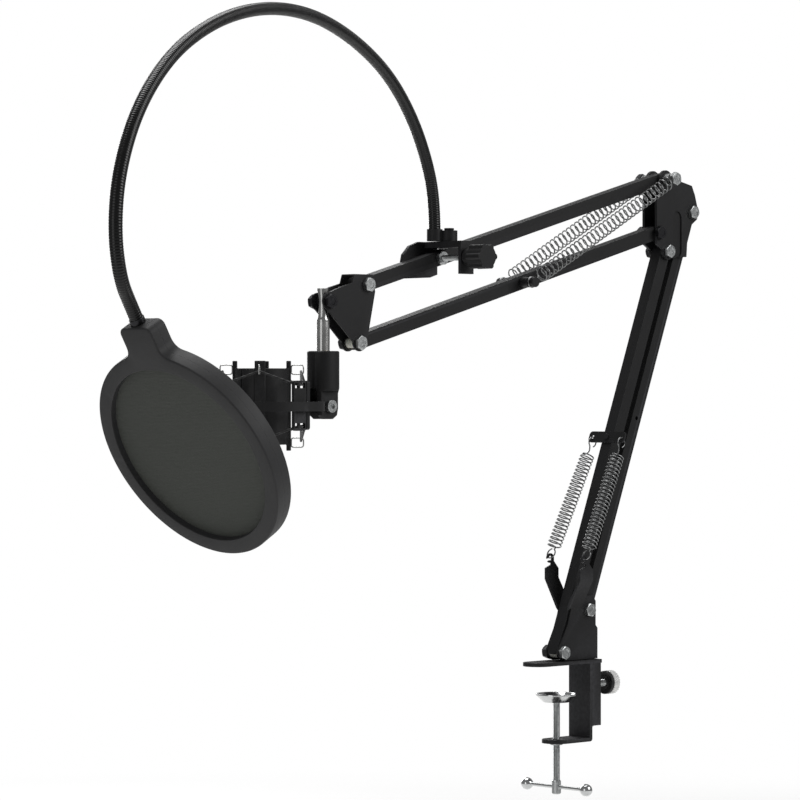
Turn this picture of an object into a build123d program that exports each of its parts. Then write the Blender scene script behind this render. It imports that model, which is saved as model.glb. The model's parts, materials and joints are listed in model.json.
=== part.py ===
"""Desk-clamped spring-balanced microphone arm with a shock mount and a pop filter on a gooseneck.

Frame: millimetres, +Z up. The origin is the underside of the desk clamp's upper jaw, on the clamp
screw's axis. The arm lies in the plane y = 0 and reaches towards -X.
"""
from build123d import *
import math
import os

os.makedirs("parts", exist_ok=True)

# Arm linkage. Pivots are (x, z) points in the plane y = 0.
ARM_LENGTH = 354.5          # pivot to pivot, all four bars
BAR_SIDE = 11.0             # square tube
BAR_WALL = 1.0
BAR_HALF = BAR_SIDE / 2
LOWER_LEAN = 20.9           # degrees, lower arm back from vertical
UPPER_DROP = 15.6           # degrees, upper arm down from horizontal
PIVOT_BASE_FRONT = (0.4, 10.0)
LOWER_LINK = (30.1, 33.8)   # front pivot to rear pivot, at base and elbow
UPPER_LINK = (-8.6, -45.1)  # top pivot to bottom pivot, at elbow and head
ELBOW_RISE = (-2.8, 60.3)   # front bar's top pivot to the upper arm's top pivot

# Sheet metal and fasteners.
SHEET = 1.5
CHEEK_IN = BAR_HALF + 0.3
CHEEK_OUT = CHEEK_IN + SHEET
ELBOW_SHEET = 2.5
ELBOW_OUT = CHEEK_IN + ELBOW_SHEET
BOLT_R = 3.0                # M6
BOLT_BORE_R = 3.05
HEX_CORNER_R = 5.7
HEAD_HIGH = 3.6
NUT_HIGH = 5.0

# Springs.
SPRING_R = 6.3
SPRING_WIRE_R = 0.55
SPRING_EYE_R = 4.2
TAIL_BACK = 14.0            # from a tail's eye centre back to the end of the barrel
UPPER_SPRING_Y = 16.2
LOWER_SPRING_TOP_Y = 16.2
LOWER_SPRING_FOOT_Y = 20.1
LOWER_SPRING_TOP = (62.0, 184.9)
LOWER_SPRING_FOOT = (12.6, 86.0)
UPPER_PIN = (-45.4, 311.6)

# Desk clamp.
STRIP_HALF = 12.0
STRIP = 3.0
JAW_NOSE_X = -22.0
BACK_X = 27.2
LOWER_JAW_Z = -64.0
SWIVEL_X = 35.9
SWIVEL_R = 3.5
BUSH_R = 4.5
SOCKET_LOW = -51.3
SOCKET_BACK = 41.5
PAD_TOP = -23.6
PAD_R = 16.75
SCREW_LOW = -105.8
TOMMY_Z = -100.0
LOCK_Z = -18.0

# Microphone head.
SPIGOT_X = -257.5
TILT_PIVOT = (SPIGOT_X, 292.5)
RING_TILT = (SPIGOT_X, 212.3)
SWIVEL_BODY_R = 12.4
RING_X = -320.0
RING_Z = 212.3
RING_IN = 44.0
RING_OUT = 47.5
CRADLE_R = 20.7
CRADLE_BORE_R = 18.0
CRADLE_LOW = 183.6
CRADLE_HIGH = 241.0

# Pop filter and its clamp.
FILTER_CLAMP_X = -137.0
CLAMP_SCREW_Z = 328.6
POST_Y = -14.6
NECK_START = (-145.2, -6.8)
NECK_R = 4.75
FILTER_MID = (-543.4, -186.4, 184.5)
FILTER_R = 77.5
FILTER_IN = 66.5
FILTER_HALF = 7.5
FILTER_ACROSS = (0.04, -0.999, 0.0)
FILTER_NORMAL = (-0.862, -0.035, -0.506)
GAP = 0.3
FILTER_PLANE = Plane(origin=FILTER_MID, x_dir=FILTER_ACROSS, z_dir=FILTER_NORMAL)

# The gooseneck's route: (distance out from its foot, height), in the upright plane through its
# foot and the filter's neck. It ends straight into the neck, NECK_OFFSET off the filter's middle.
NECK_OFFSET = 0.0
NECK_SEAT = 90.0
NECK_END = tuple(FILTER_PLANE.from_local_coords((NECK_OFFSET, NECK_SEAT, 0)))
NECK_ROUTE = [
    (0, 345), (0, 372), (14, 403), (44, 437), (88, 466), (146, 486), (210, 497.5), (270, 498.5),
    (330, 491), (390, 474), (444, 448), (487, 411), (512, 369), (518.5, 330), (511, 298),
]
FLEX_CORNER = 7


def offset_point(point, step):
    """Shift an (x, z) point by an (x, z) step."""
    return (point[0] + step[0], point[1] + step[1])


def along(point, distance, degrees):
    """The (x, z) point at a distance from another, at an angle up from +X."""
    turn = math.radians(degrees)
    return (point[0] + distance * math.cos(turn), point[1] + distance * math.sin(turn))


LOWER_ANGLE = 90 - LOWER_LEAN
UPPER_ANGLE = 180 + UPPER_DROP
BASE_FRONT = PIVOT_BASE_FRONT
BASE_REAR = offset_point(BASE_FRONT, LOWER_LINK)
ELBOW_FRONT = along(BASE_FRONT, ARM_LENGTH, LOWER_ANGLE)
ELBOW_REAR = offset_point(ELBOW_FRONT, LOWER_LINK)
ELBOW_TOP = offset_point(ELBOW_FRONT, ELBOW_RISE)
ELBOW_LOW = offset_point(ELBOW_TOP, UPPER_LINK)
HEAD_TOP = along(ELBOW_TOP, ARM_LENGTH, UPPER_ANGLE)
HEAD_LOW = offset_point(HEAD_TOP, UPPER_LINK)


def save(shape, node):
    """Write one node's STEP file."""
    export_step(shape, f"parts/{node}.step")


def outline(*points):
    """A closed flat shape through the points."""
    return make_face(Polyline(*points, close=True))


def side_plate(sketch, y_low, y_high):
    """Stand a sketch drawn in (x, z) upright and give it thickness from y_low to y_high."""
    return extrude(Plane.XZ.offset(-y_high) * sketch, amount=y_high - y_low)


def spot(centre, radius):
    """A disc in (x, z)."""
    return Pos(*centre) * Circle(radius)


def cross_rod(centre, radius, y_low, y_high):
    """A round rod along Y at an (x, z) point."""
    return side_plate(spot(centre, radius), y_low, y_high)


def upright(x, y, radius, z_low, z_high):
    """A round rod along Z."""
    return Pos(x, y, z_low) * extrude(Circle(radius), amount=z_high - z_low)


def both_sides(shape):
    """A shape and its mirror image across the arm's plane."""
    return [shape, mirror(shape, about=Plane.XZ)]


def hex_bolt(centre, y_head, y_tip):
    """A hexagon-head bolt along Y, its head on the near side with its underside at y_head."""
    head = side_plate(Pos(*centre) * RegularPolygon(HEX_CORNER_R, 6), y_head - HEAD_HIGH, y_head)
    return head + cross_rod(centre, BOLT_R, y_head, y_tip)


def hex_nut(centre, y_face):
    """A nut on the far side, its seat at y_face."""
    nut = side_plate(Pos(*centre) * RegularPolygon(HEX_CORNER_R, 6), y_face, y_face + NUT_HIGH)
    return nut - cross_rod(centre, BOLT_R, y_face - 1, y_face + NUT_HIGH + 1)


def save_bolts(pivots, grip, place):
    """The bolts through a pair of cheeks, each with its nut, as one node named for the place."""
    pieces = []
    for pivot in pivots:
        pieces.append(hex_bolt(pivot, -grip, grip + NUT_HIGH + 1))
        pieces.append(hex_nut(pivot, grip))
    save(Compound(children=pieces), f"{place}_bolts")


def bar_place(start, end):
    """The place of a bar: its middle, with local X from start to end."""
    angle = math.degrees(math.atan2(end[1] - start[1], end[0] - start[0]))
    middle = ((start[0] + end[0]) / 2, 0, (start[1] + end[1]) / 2)
    return Location(middle, (0, -angle, 0))


def square_bar(start, end, holes=()):
    """Square tube with side walls rounded about both pivots; holes are (x, radius) along it."""
    bar = side_plate(SlotCenterToCenter(ARM_LENGTH, BAR_SIDE), -BAR_HALF, BAR_HALF)
    inside = BAR_SIDE - 2 * BAR_WALL
    bar -= Box(ARM_LENGTH + 2 * BAR_SIDE, inside, inside)
    for x in (-ARM_LENGTH / 2, ARM_LENGTH / 2):
        bar -= cross_rod((x, 0), BOLT_BORE_R, -BAR_SIDE, BAR_SIDE)
    for x, radius in holes:
        bar -= cross_rod((x, 0), radius, -BAR_SIDE, BAR_SIDE)
    return bar_place(start, end) * bar


def bar_bushes(*pivots):
    """Nylon bushes on the bolts, which the bars' hollow ends turn round."""
    reach = BAR_HALF - BAR_WALL
    bushes = []
    for pivot in pivots:
        bush = cross_rod(pivot, reach - 0.1, 0.05 - reach, reach - 0.05)
        bushes.append(bush - cross_rod(pivot, BOLT_R, -reach, reach))
    return Compound(children=bushes)


def desk_clamp():
    """The bent steel strip, the arm's socket on its back, and the pieces fixed in them."""
    upper = Pos((JAW_NOSE_X + SOCKET_BACK) / 2, 0) * Rectangle(SOCKET_BACK - JAW_NOSE_X, 2 * STRIP_HALF)
    upper += Pos(JAW_NOSE_X, 0) * Circle(STRIP_HALF)
    frame = extrude(upper, amount=STRIP)
    lower = Pos(BACK_X / 2, 0) * Rectangle(BACK_X, 2 * STRIP_HALF) + Circle(STRIP_HALF)
    frame += Pos(0, 0, LOWER_JAW_Z) * extrude(lower, amount=STRIP)
    back_high = -LOWER_JAW_Z + STRIP
    frame += Pos(BACK_X + STRIP / 2, 0, LOWER_JAW_Z + back_high / 2) * Box(STRIP, 2 * STRIP_HALF, back_high)
    frame = fillet(frame.edges().filter_by(Axis.Y).group_by(Axis.Z)[0].sort_by(Axis.X)[-1], 2.5)
    nut_r = 5.0
    frame -= upright(0, 0, nut_r, LOWER_JAW_Z - 1, LOWER_JAW_Z + STRIP + 1)
    frame -= upright(SWIVEL_X, 0, BUSH_R, -1, STRIP + 1)
    save(frame, "clamp_frame")

    socket_deep = SOCKET_BACK - BACK_X - STRIP
    socket = Box(socket_deep, 2 * STRIP_HALF, -SOCKET_LOW)
    socket = fillet(socket.edges().filter_by(Axis.Z).group_by(Axis.X)[-1], 2.0)
    socket = Pos(SOCKET_BACK - socket_deep / 2, 0, SOCKET_LOW / 2) * socket
    socket -= upright(SWIVEL_X, 0, BUSH_R, SOCKET_LOW - 1, 1)
    lock_hole = Location((SWIVEL_X, 0, LOCK_Z), (0, 90, 0)) * extrude(Circle(BOLT_BORE_R), amount=20)
    save(socket - lock_hole, "swivel_socket")

    bush_long = 14.0
    bushes = []
    for z_low, z_high in ((STRIP - 17, STRIP), (SOCKET_LOW, SOCKET_LOW + bush_long)):
        bush = upright(SWIVEL_X, 0, BUSH_R, z_low, z_high)
        bushes.append(bush - upright(SWIVEL_X, 0, SWIVEL_R + 0.05, z_low - 1, z_high + 1))
    save(Compound(children=bushes), "swivel_bushes")

    nut = upright(0, 0, nut_r, LOWER_JAW_Z - 1.5, LOWER_JAW_Z + STRIP)
    nut -= upright(0, 0, BOLT_BORE_R, LOWER_JAW_Z - 3, LOWER_JAW_Z + STRIP + 1)
    save(nut, "clamp_nut")


def clamp_screw():
    """The desk clamp's screw, its sliding tommy bar, and the pressure pad on top."""
    pad_high = 7.0
    dish = revolve(
        Plane.XZ * outline(
            (0, PAD_TOP - pad_high), (10.5, PAD_TOP - pad_high), (PAD_R, PAD_TOP - 1.2),
            (PAD_R, PAD_TOP), (PAD_R - 1.2, PAD_TOP), (9.6, PAD_TOP - pad_high + 1.4),
            (0, PAD_TOP - pad_high + 1.4),
        ),
        Axis.Z,
    )
    dish -= upright(0, 0, 2.05, PAD_TOP - pad_high - 1, PAD_TOP)
    save(dish, "clamp_pad")

    seat = PAD_TOP - pad_high
    screw = upright(0, 0, BOLT_R, SCREW_LOW, seat - GAP)
    screw += upright(0, 0, 2.0, seat - GAP, seat + 2.0)
    screw += upright(0, 0, 3.4, seat + 1.4 + GAP, seat + 2.6)
    screw += upright(0, 0, 4.6, SCREW_LOW, TOMMY_Z + 5.5)
    tommy_r = 1.5
    screw -= cross_rod((0, TOMMY_Z), tommy_r + 0.05, -10, 10)
    save(screw, "clamp_screw")

    half = 33.4
    bar = cross_rod((0, TOMMY_Z), tommy_r, -half, half)
    for y in (-half, half):
        bar += Pos(0, y, TOMMY_Z) * Sphere(5.0)
    save(bar, "tommy_bar")


def lock_knob():
    """The screw and knob that lock the arm's swivel, on the back of the socket."""
    def on_axis(radius, x_low, x_high):
        return Location((x_low, 0, LOCK_Z), (0, 90, 0)) * extrude(Circle(radius), amount=x_high - x_low)

    tip = SWIVEL_X + SWIVEL_R + GAP
    knob_front, knob_back = 56.3, 67.2
    save(on_axis(BOLT_R, tip, knob_front + 8), "lock_screw")
    core = on_axis(8.3, knob_front, knob_back) - on_axis(BOLT_R, knob_front - 1, knob_front + 8)
    save(core, "lock_knob_core")
    rim = on_axis(9.85, knob_front + 0.8, knob_back - 0.8) - on_axis(8.3, knob_front, knob_back)
    save(rim, "lock_knob_rim")


def base_yoke():
    """The bent base: two cheeks, a floor and a rear web, with a spring horn on each side."""
    floor_low, floor_high = STRIP + 0.4, STRIP + 0.4 + SHEET
    rear = 41.2
    cheek = outline(
        (2.0, floor_low), (rear, floor_low), (rear, 28.6), (39.0, 31.0), (39.0, 51.0),
        (35.0, 55.5), (22.1, 55.5), (22.1, 48.0), (9.9, 46.0), (5.9, 33.0), (-5.2, 12.0),
    )
    cheek += spot(BASE_FRONT, 6.0)
    yoke = side_plate(cheek, CHEEK_IN, CHEEK_OUT)
    yoke += mirror(yoke, about=Plane.XZ)
    wide = 2 * CHEEK_OUT
    yoke += Pos(rear - SHEET / 2, 0, (floor_low + 28.6) / 2) * Box(SHEET, wide, 28.6 - floor_low)
    yoke += Pos((12 + rear) / 2, 0, (floor_low + floor_high) / 2) * Box(rear - 12, wide, SHEET)
    for pivot in (BASE_FRONT, BASE_REAR):
        yoke -= cross_rod(pivot, BOLT_R, -wide, wide)
    yoke -= upright(SWIVEL_X, 0, SWIVEL_R, 0, 10)

    foot_y, tip_y = CHEEK_OUT - SHEET / 2, LOWER_SPRING_FOOT_Y - 0.6
    flare = extrude(
        Plane.YZ.offset(6.9) * outline(
            (foot_y - SHEET / 2, 44.0), (foot_y + SHEET / 2, 46.0), (tip_y + SHEET / 2, 69.0),
            (tip_y + SHEET / 2, 92.0), (tip_y - SHEET / 2, 92.0), (tip_y - SHEET / 2, 70.0),
            (foot_y - SHEET / 2, 48.4),
        ),
        amount=15.2,
    )
    hook = outline(
        (6.9, 44.0), (22.1, 44.0), (22.1, 77.5), (16.6, 83.5), (16.6, 86.0), (14.0, 84.0), (13.5, 80.5),
        (6.9, 78.0),
    )
    hook += spot(LOWER_SPRING_FOOT, 4.0)
    hook -= spot(LOWER_SPRING_FOOT, 2.0)
    hook -= Pos(8.6, 84.2) * Rotation(0, 0, 25) * Rectangle(6.0, 2.4)
    horn = flare & side_plate(hook, 0, 30)
    yoke += horn
    yoke += mirror(horn, about=Plane.XZ)
    save(yoke, "base_yoke")

    pin_low = SOCKET_LOW - 3.0
    pin = upright(SWIVEL_X, 0, SWIVEL_R, pin_low, floor_high)
    clip_low, clip_high = SOCKET_LOW - 1.5, SOCKET_LOW - 0.4
    groove = upright(SWIVEL_X, 0, 5, clip_low, clip_high) - upright(SWIVEL_X, 0, 2.9, clip_low, clip_high)
    save(pin - groove, "swivel_pin")
    clip = upright(SWIVEL_X, 0, 5.6, clip_low, clip_high) - upright(SWIVEL_X, 0, 2.9, clip_low, clip_high)
    slot = Pos(SWIVEL_X, 4, (clip_low + clip_high) / 2) * Box(3.6, 8, 4)
    save(clip - slot, "pin_circlip")

    save_bolts((BASE_FRONT, BASE_REAR), CHEEK_OUT, "base")
    save(bar_bushes(BASE_FRONT, BASE_REAR), "base_bushes")


def lower_arm():
    """Two parallel bars from base to elbow, and the plate that the lower springs pull on."""
    front = bar_place(BASE_FRONT, ELBOW_FRONT)
    plate_x = 8.1
    front_bar = square_bar(BASE_FRONT, ELBOW_FRONT)
    save(front_bar, "lower_front_bar")
    save(square_bar(BASE_REAR, ELBOW_REAR, [(-9.0, 1.6)]), "lower_rear_bar")

    plate = Rectangle(9.5, 40.4)
    plate = fillet(plate.vertices(), 3.0)
    for y in (-LOWER_SPRING_TOP_Y, LOWER_SPRING_TOP_Y):
        plate -= Pos(0, y) * Circle(1.7)
    plate = Pos(plate_x, 0, BAR_HALF) * extrude(plate, amount=SHEET)
    plate += Pos(plate_x, 0, BAR_HALF + SHEET) * extrude(Circle(2.4), amount=1.2)
    save(front * plate, "lower_spring_plate")


def spring(root, tail, root_eye_axis, tail_eye_axis):
    """A pull spring as a thin-walled barrel with a wire eye at each end, and its last turn as a ring.

    root and tail are the centres of the end eyes. The ring stays with the tail when it stretches.
    """
    axis = tail - root
    unit = axis.normalized()
    barrel_start = root + unit * (SPRING_EYE_R + 1.0)
    barrel_long = axis.length - SPRING_EYE_R - 1.0 - TAIL_BACK
    wall = Circle(SPRING_R) - Circle(SPRING_R - SPRING_WIRE_R)
    shape = Plane(origin=barrel_start, z_dir=unit) * extrude(wall, amount=barrel_long)
    for centre, eye_axis in ((root, root_eye_axis), (tail, tail_eye_axis)):
        shape += Plane(origin=centre, z_dir=eye_axis) * Torus(SPRING_EYE_R, SPRING_WIRE_R)
    ring_place = Plane(origin=tail - unit * (TAIL_BACK - 2.0), z_dir=unit)
    return shape, ring_place * Torus(SPRING_R - SPRING_WIRE_R, SPRING_WIRE_R)


def springs():
    """Two pairs of pull springs, one each side of the arm."""
    across = Vector(0, 1, 0)
    lower_rings, upper_rings = [], []
    for side, name in ((-1, "near"), (1, "far")):
        horn_hole = Vector(LOWER_SPRING_FOOT[0], side * LOWER_SPRING_FOOT_Y, LOWER_SPRING_FOOT[1])
        plate_hole = Vector(LOWER_SPRING_TOP[0], side * LOWER_SPRING_TOP_Y, LOWER_SPRING_TOP[1])
        pull = (plate_hole - horn_hole).normalized()
        root = horn_hole + pull * SPRING_EYE_R
        tail = plate_hole - pull * SPRING_EYE_R
        shape, ring = spring(root, tail, pull.cross(across), across)
        save(shape, f"lower_spring_{name}")
        lower_rings.append(ring)
        bolt = Vector(ELBOW_TOP[0], side * UPPER_SPRING_Y, ELBOW_TOP[1])
        pin = Vector(UPPER_PIN[0], side * UPPER_SPRING_Y, UPPER_PIN[1])
        shape, ring = spring(bolt, pin, across, across)
        save(shape, f"upper_spring_{name}")
        upper_rings.append(ring)
    save(Compound(children=lower_rings), "lower_spring_tails")
    save(Compound(children=upper_rings), "upper_spring_tails")


def elbow():
    """Two stamped cheeks that join the lower and upper arms, with their bolts and nuts."""
    cheek = outline(
        (112.6, 347.0), (112.6, 384.0), (117.0, 403.0), (143.9, 400.1), (156.5, 397.3), (160.3, 389.8),
        (164.8, 375.5), (162.9, 369.0), (156.5, 364.6), (153.2, 355.6), (150.6, 348.8), (149.7, 336.9),
        (131.9, 335.6),
    )
    cheek += spot(ELBOW_FRONT, 7.0)
    cheek += spot(ELBOW_TOP, 7.6)
    for pivot in (ELBOW_FRONT, ELBOW_REAR, ELBOW_TOP, ELBOW_LOW):
        cheek -= spot(pivot, BOLT_R)
    groove = Pos(137.9, 355.5) * SlotCenterToCenter(28.0, 11.0, rotation=90)
    plate = side_plate(cheek, CHEEK_IN, ELBOW_OUT) - side_plate(groove, ELBOW_OUT - 1.2, ELBOW_OUT + 1)
    save(plate, "elbow_plate_far")
    save(mirror(plate, about=Plane.XZ), "elbow_plate_near")

    save_bolts((ELBOW_FRONT, ELBOW_REAR, ELBOW_LOW), ELBOW_OUT, "elbow")
    long_reach = 17.4
    long_bolt = hex_bolt(ELBOW_TOP, -long_reach, long_reach + NUT_HIGH + 1)
    save(Compound(children=[long_bolt, hex_nut(ELBOW_TOP, long_reach)]), "spring_bolt")
    save(bar_bushes(ELBOW_FRONT, ELBOW_REAR, ELBOW_TOP, ELBOW_LOW), "elbow_bushes")
    spacer = cross_rod(ELBOW_TOP, 4.6, ELBOW_OUT, 14.4) - cross_rod(ELBOW_TOP, BOLT_R, 0, 20)
    save(Compound(children=both_sides(spacer)), "spring_bolt_spacers")


def upper_arm():
    """Two parallel bars from elbow to head, and the pin that the upper springs pull on."""
    save(square_bar(ELBOW_TOP, HEAD_TOP), "upper_top_bar")
    pin_run = math.dist(ELBOW_LOW, UPPER_PIN)
    save(square_bar(ELBOW_LOW, HEAD_LOW, [(pin_run - ARM_LENGTH / 2, 2.5)]), "upper_bottom_bar")
    pin_centre = along(ELBOW_LOW, pin_run, UPPER_ANGLE)
    pin = cross_rod(pin_centre, 2.5, -18.4, 18.4)
    for side in (-1, 1):
        pin += cross_rod(pin_centre, 4.2, min(side * 18.0, side * 21.0), max(side * 18.0, side * 21.0))
        pin += cross_rod(pin_centre, 4.2, min(side * 5.5, side * 14.2), max(side * 5.5, side * 14.2))
    save(pin, "upper_spring_pin")


def head_yoke():
    """The bent yoke at the arm's end: two cheeks under a top web, and a nose for the spigot."""
    web_low, web_high = 312.5, 314.0
    cheek = outline(
        (-231.7, web_high), (-212.5, web_high), (-209.6, 300.8), (-212.6, 287.3), (-218.6, 260.2),
        (-222.0, 255.5), (-226.5, 255.5), (-242.7, 270.8), (-262.0, 288.0), (-262.5, 297.0),
        (-257.0, 299.5), (-245.9, 303.8), (-234.0, 307.0),
    )
    cheek += spot(HEAD_TOP, 7.0)
    cheek += spot(HEAD_LOW, 6.6)
    cheek += spot(TILT_PIVOT, 6.8)
    yoke = side_plate(cheek, CHEEK_IN, CHEEK_OUT)
    yoke += mirror(yoke, about=Plane.XZ)
    yoke += Pos((-231.7 - 221.5) / 2, 0, (web_low + web_high) / 2) * Box(10.2, 2 * CHEEK_OUT, SHEET)
    for pivot in (HEAD_TOP, HEAD_LOW, TILT_PIVOT):
        yoke -= cross_rod(pivot, BOLT_R, -20, 20)
    save(yoke, "head_yoke")

    save_bolts((HEAD_TOP, HEAD_LOW, TILT_PIVOT), CHEEK_OUT, "head")
    save(bar_bushes(HEAD_TOP, HEAD_LOW), "head_bushes")


def spigot():
    """The steel spigot that hangs from the head yoke, and the swivel body that turns on it."""
    body_top = 254.5
    spigot_r = 5.0
    thread_low = 236.0
    profile = outline(
        (0, thread_low), (spigot_r, thread_low), (spigot_r, 278.0), (3.9, 281.0), (3.6, 292.5),
        (4.8, 302.5), (0, 302.5),
    )
    pin = Pos(SPIGOT_X, 0, 0) * revolve(Plane.XZ * profile, Axis.Z)
    pin -= cross_rod(TILT_PIVOT, BOLT_BORE_R, -10, 10)
    save(pin, "mic_spigot")

    insert_r = 7.9
    insert = upright(SPIGOT_X, 0, insert_r, thread_low - 1, body_top)
    save(insert - upright(SPIGOT_X, 0, spigot_r + 0.05, thread_low - 1, body_top + 1), "thread_insert")

    low = 202.4
    body = revolve(
        Plane.XZ * outline(
            (0, low), (7.5, low), (10.6, low + 3.0), (11.4, low + 8.0), (11.4, 222.0), (SWIVEL_BODY_R, 226.0),
            (SWIVEL_BODY_R, body_top - 0.8), (SWIVEL_BODY_R - 0.8, body_top), (0, body_top),
        ),
        Axis.Z,
    )
    body = Pos(SPIGOT_X, 0, 0) * body
    body -= upright(SPIGOT_X, 0, insert_r, thread_low - 1, body_top + 1)
    slot_half, flat_half, slot_top = 4.3, 7.5, 226.0
    body -= Pos(SPIGOT_X, 0, (low + slot_top) / 2 - 2) * Box(30, 2 * slot_half, slot_top - low + 4)
    for side in (-1, 1):
        body -= Pos(SPIGOT_X, side * (flat_half + 5), 211) * Box(30, 10, 26)
    body -= cross_rod(RING_TILT, BOLT_R - 0.5, -15, 15)
    save(body, "swivel_body")

    bolt_r = BOLT_R - 0.5
    head = cross_rod(RING_TILT, 4.8, -flat_half - 3.4, -flat_half)
    socket = side_plate(Pos(*RING_TILT) * RegularPolygon(2.3, 6), -flat_half - 3.4, -flat_half - 1.4)
    bolt = head - socket + cross_rod(RING_TILT, bolt_r, -flat_half, flat_half + 4.4)
    nut = side_plate(Pos(*RING_TILT) * RegularPolygon(4.8, 6), flat_half, flat_half + 3.6)
    save(Compound(children=[bolt, nut - cross_rod(RING_TILT, bolt_r, 0, 15)]), "mount_bolt")


def shock_mount():
    """The ring with its lug, four cord brackets, the sprung cradle, and the elastic cord."""
    ring_low, ring_high = 208.8, 215.9
    ring = upright(RING_X, 0, RING_OUT, ring_low, ring_high)
    lug_half, lug_r = 4.0, 3.5
    eye_x, eye_z = RING_TILT
    reach_in = RING_X + RING_OUT - 2
    lug = Pos((reach_in + eye_x) / 2, eye_z) * Rectangle(eye_x - reach_in, 2 * lug_r)
    lug += spot(RING_TILT, 5.5)
    lug -= spot(RING_TILT, BOLT_R - 0.45)
    ring += side_plate(lug, -lug_half, lug_half)
    ring -= upright(RING_X, 0, RING_IN, ring_low - 5, ring_high + 5)
    bracket_out = 43.55
    bracket_low, bracket_high = 194.3, 231.8
    middle = (bracket_low + bracket_high) / 2
    slot_rise = 15.0
    rivet_r = 1.5
    brackets = []
    for turn in range(0, 360, 90):
        place = Location((RING_X, 0, 0), (0, 0, turn))
        plate = Rectangle(12, bracket_high - bracket_low)
        plate = fillet(plate.vertices(), 2.0)
        for end in (-1, 1):
            plate -= Pos(0, end * slot_rise) * Rectangle(10.0, 3.8)
        inner_face = Plane((bracket_out - 3, 0, middle), x_dir=(0, 1, 0), z_dir=(1, 0, 0))
        bracket = extrude(inner_face * plate, amount=3)
        rivet = Location((bracket_out - 3, 0, middle), (0, 90, 0)) * extrude(Circle(rivet_r), amount=6.5)
        rivet += Location((bracket_out - 4.2, 0, middle), (0, 90, 0)) * extrude(Circle(2.6), amount=1.2)
        ring -= place * rivet
        brackets.append(place * (bracket + rivet))
    save(ring, "shock_ring")
    save(Compound(children=brackets), "cord_brackets")

    sleeve = upright(RING_X, 0, CRADLE_R, CRADLE_LOW, CRADLE_HIGH)
    for turn in range(45, 360, 90):
        tab = Pos(CRADLE_R - 0.4, 0, RING_Z + 0.5) * Box(3.2, 8, 67.7)
        sleeve += Location((RING_X, 0, 0), (0, 0, turn)) * tab
    sleeve -= upright(RING_X, 0, CRADLE_BORE_R, 170, 260)
    sleeve -= Pos(RING_X - CRADLE_R, 0, RING_Z) * Box(12, 1.2, 80)
    save(sleeve, "mic_cradle")

    wire_r = 0.8
    hook_in, hook_out, hook_half = 22.3, 31.5, 2.45
    hooks, strands = [], []
    cord_r = 0.9
    cord_out = 41.9
    for level, end in ((240.0, 1), (185.0, -1)):
        for turn in range(45, 360, 90):
            place = Location((RING_X, 0, level), (0, 0, turn))
            loop = Pos((hook_in + hook_out) / 2, 0) * (
                RectangleRounded(hook_out - hook_in, 2 * hook_half + 2 * wire_r, 3.2)
                - RectangleRounded(hook_out - hook_in - 2 * wire_r, 2 * hook_half, 2.4)
            )
            hooks.append(place * side_plate(loop, -wire_r, wire_r))
        for turn in range(0, 360, 90):
            for side in (-1, 1):
                corner = math.radians(turn + side * 45)
                eye = Vector(RING_X + 29.2 * math.cos(corner), 29.2 * math.sin(corner), level)
                slot_z = middle + end * slot_rise
                slot = Location((RING_X, 0, 0), (0, 0, turn)) * Pos(cord_out, side * 2.2, slot_z)
                path = Line(slot.position, eye)
                strand = sweep(Plane(origin=slot.position, z_dir=eye - slot.position) * Circle(cord_r), path)
                strands.append(strand)
    save(Compound(children=hooks), "cradle_hooks")
    save(Compound(children=strands), "elastic_cord")


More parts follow.
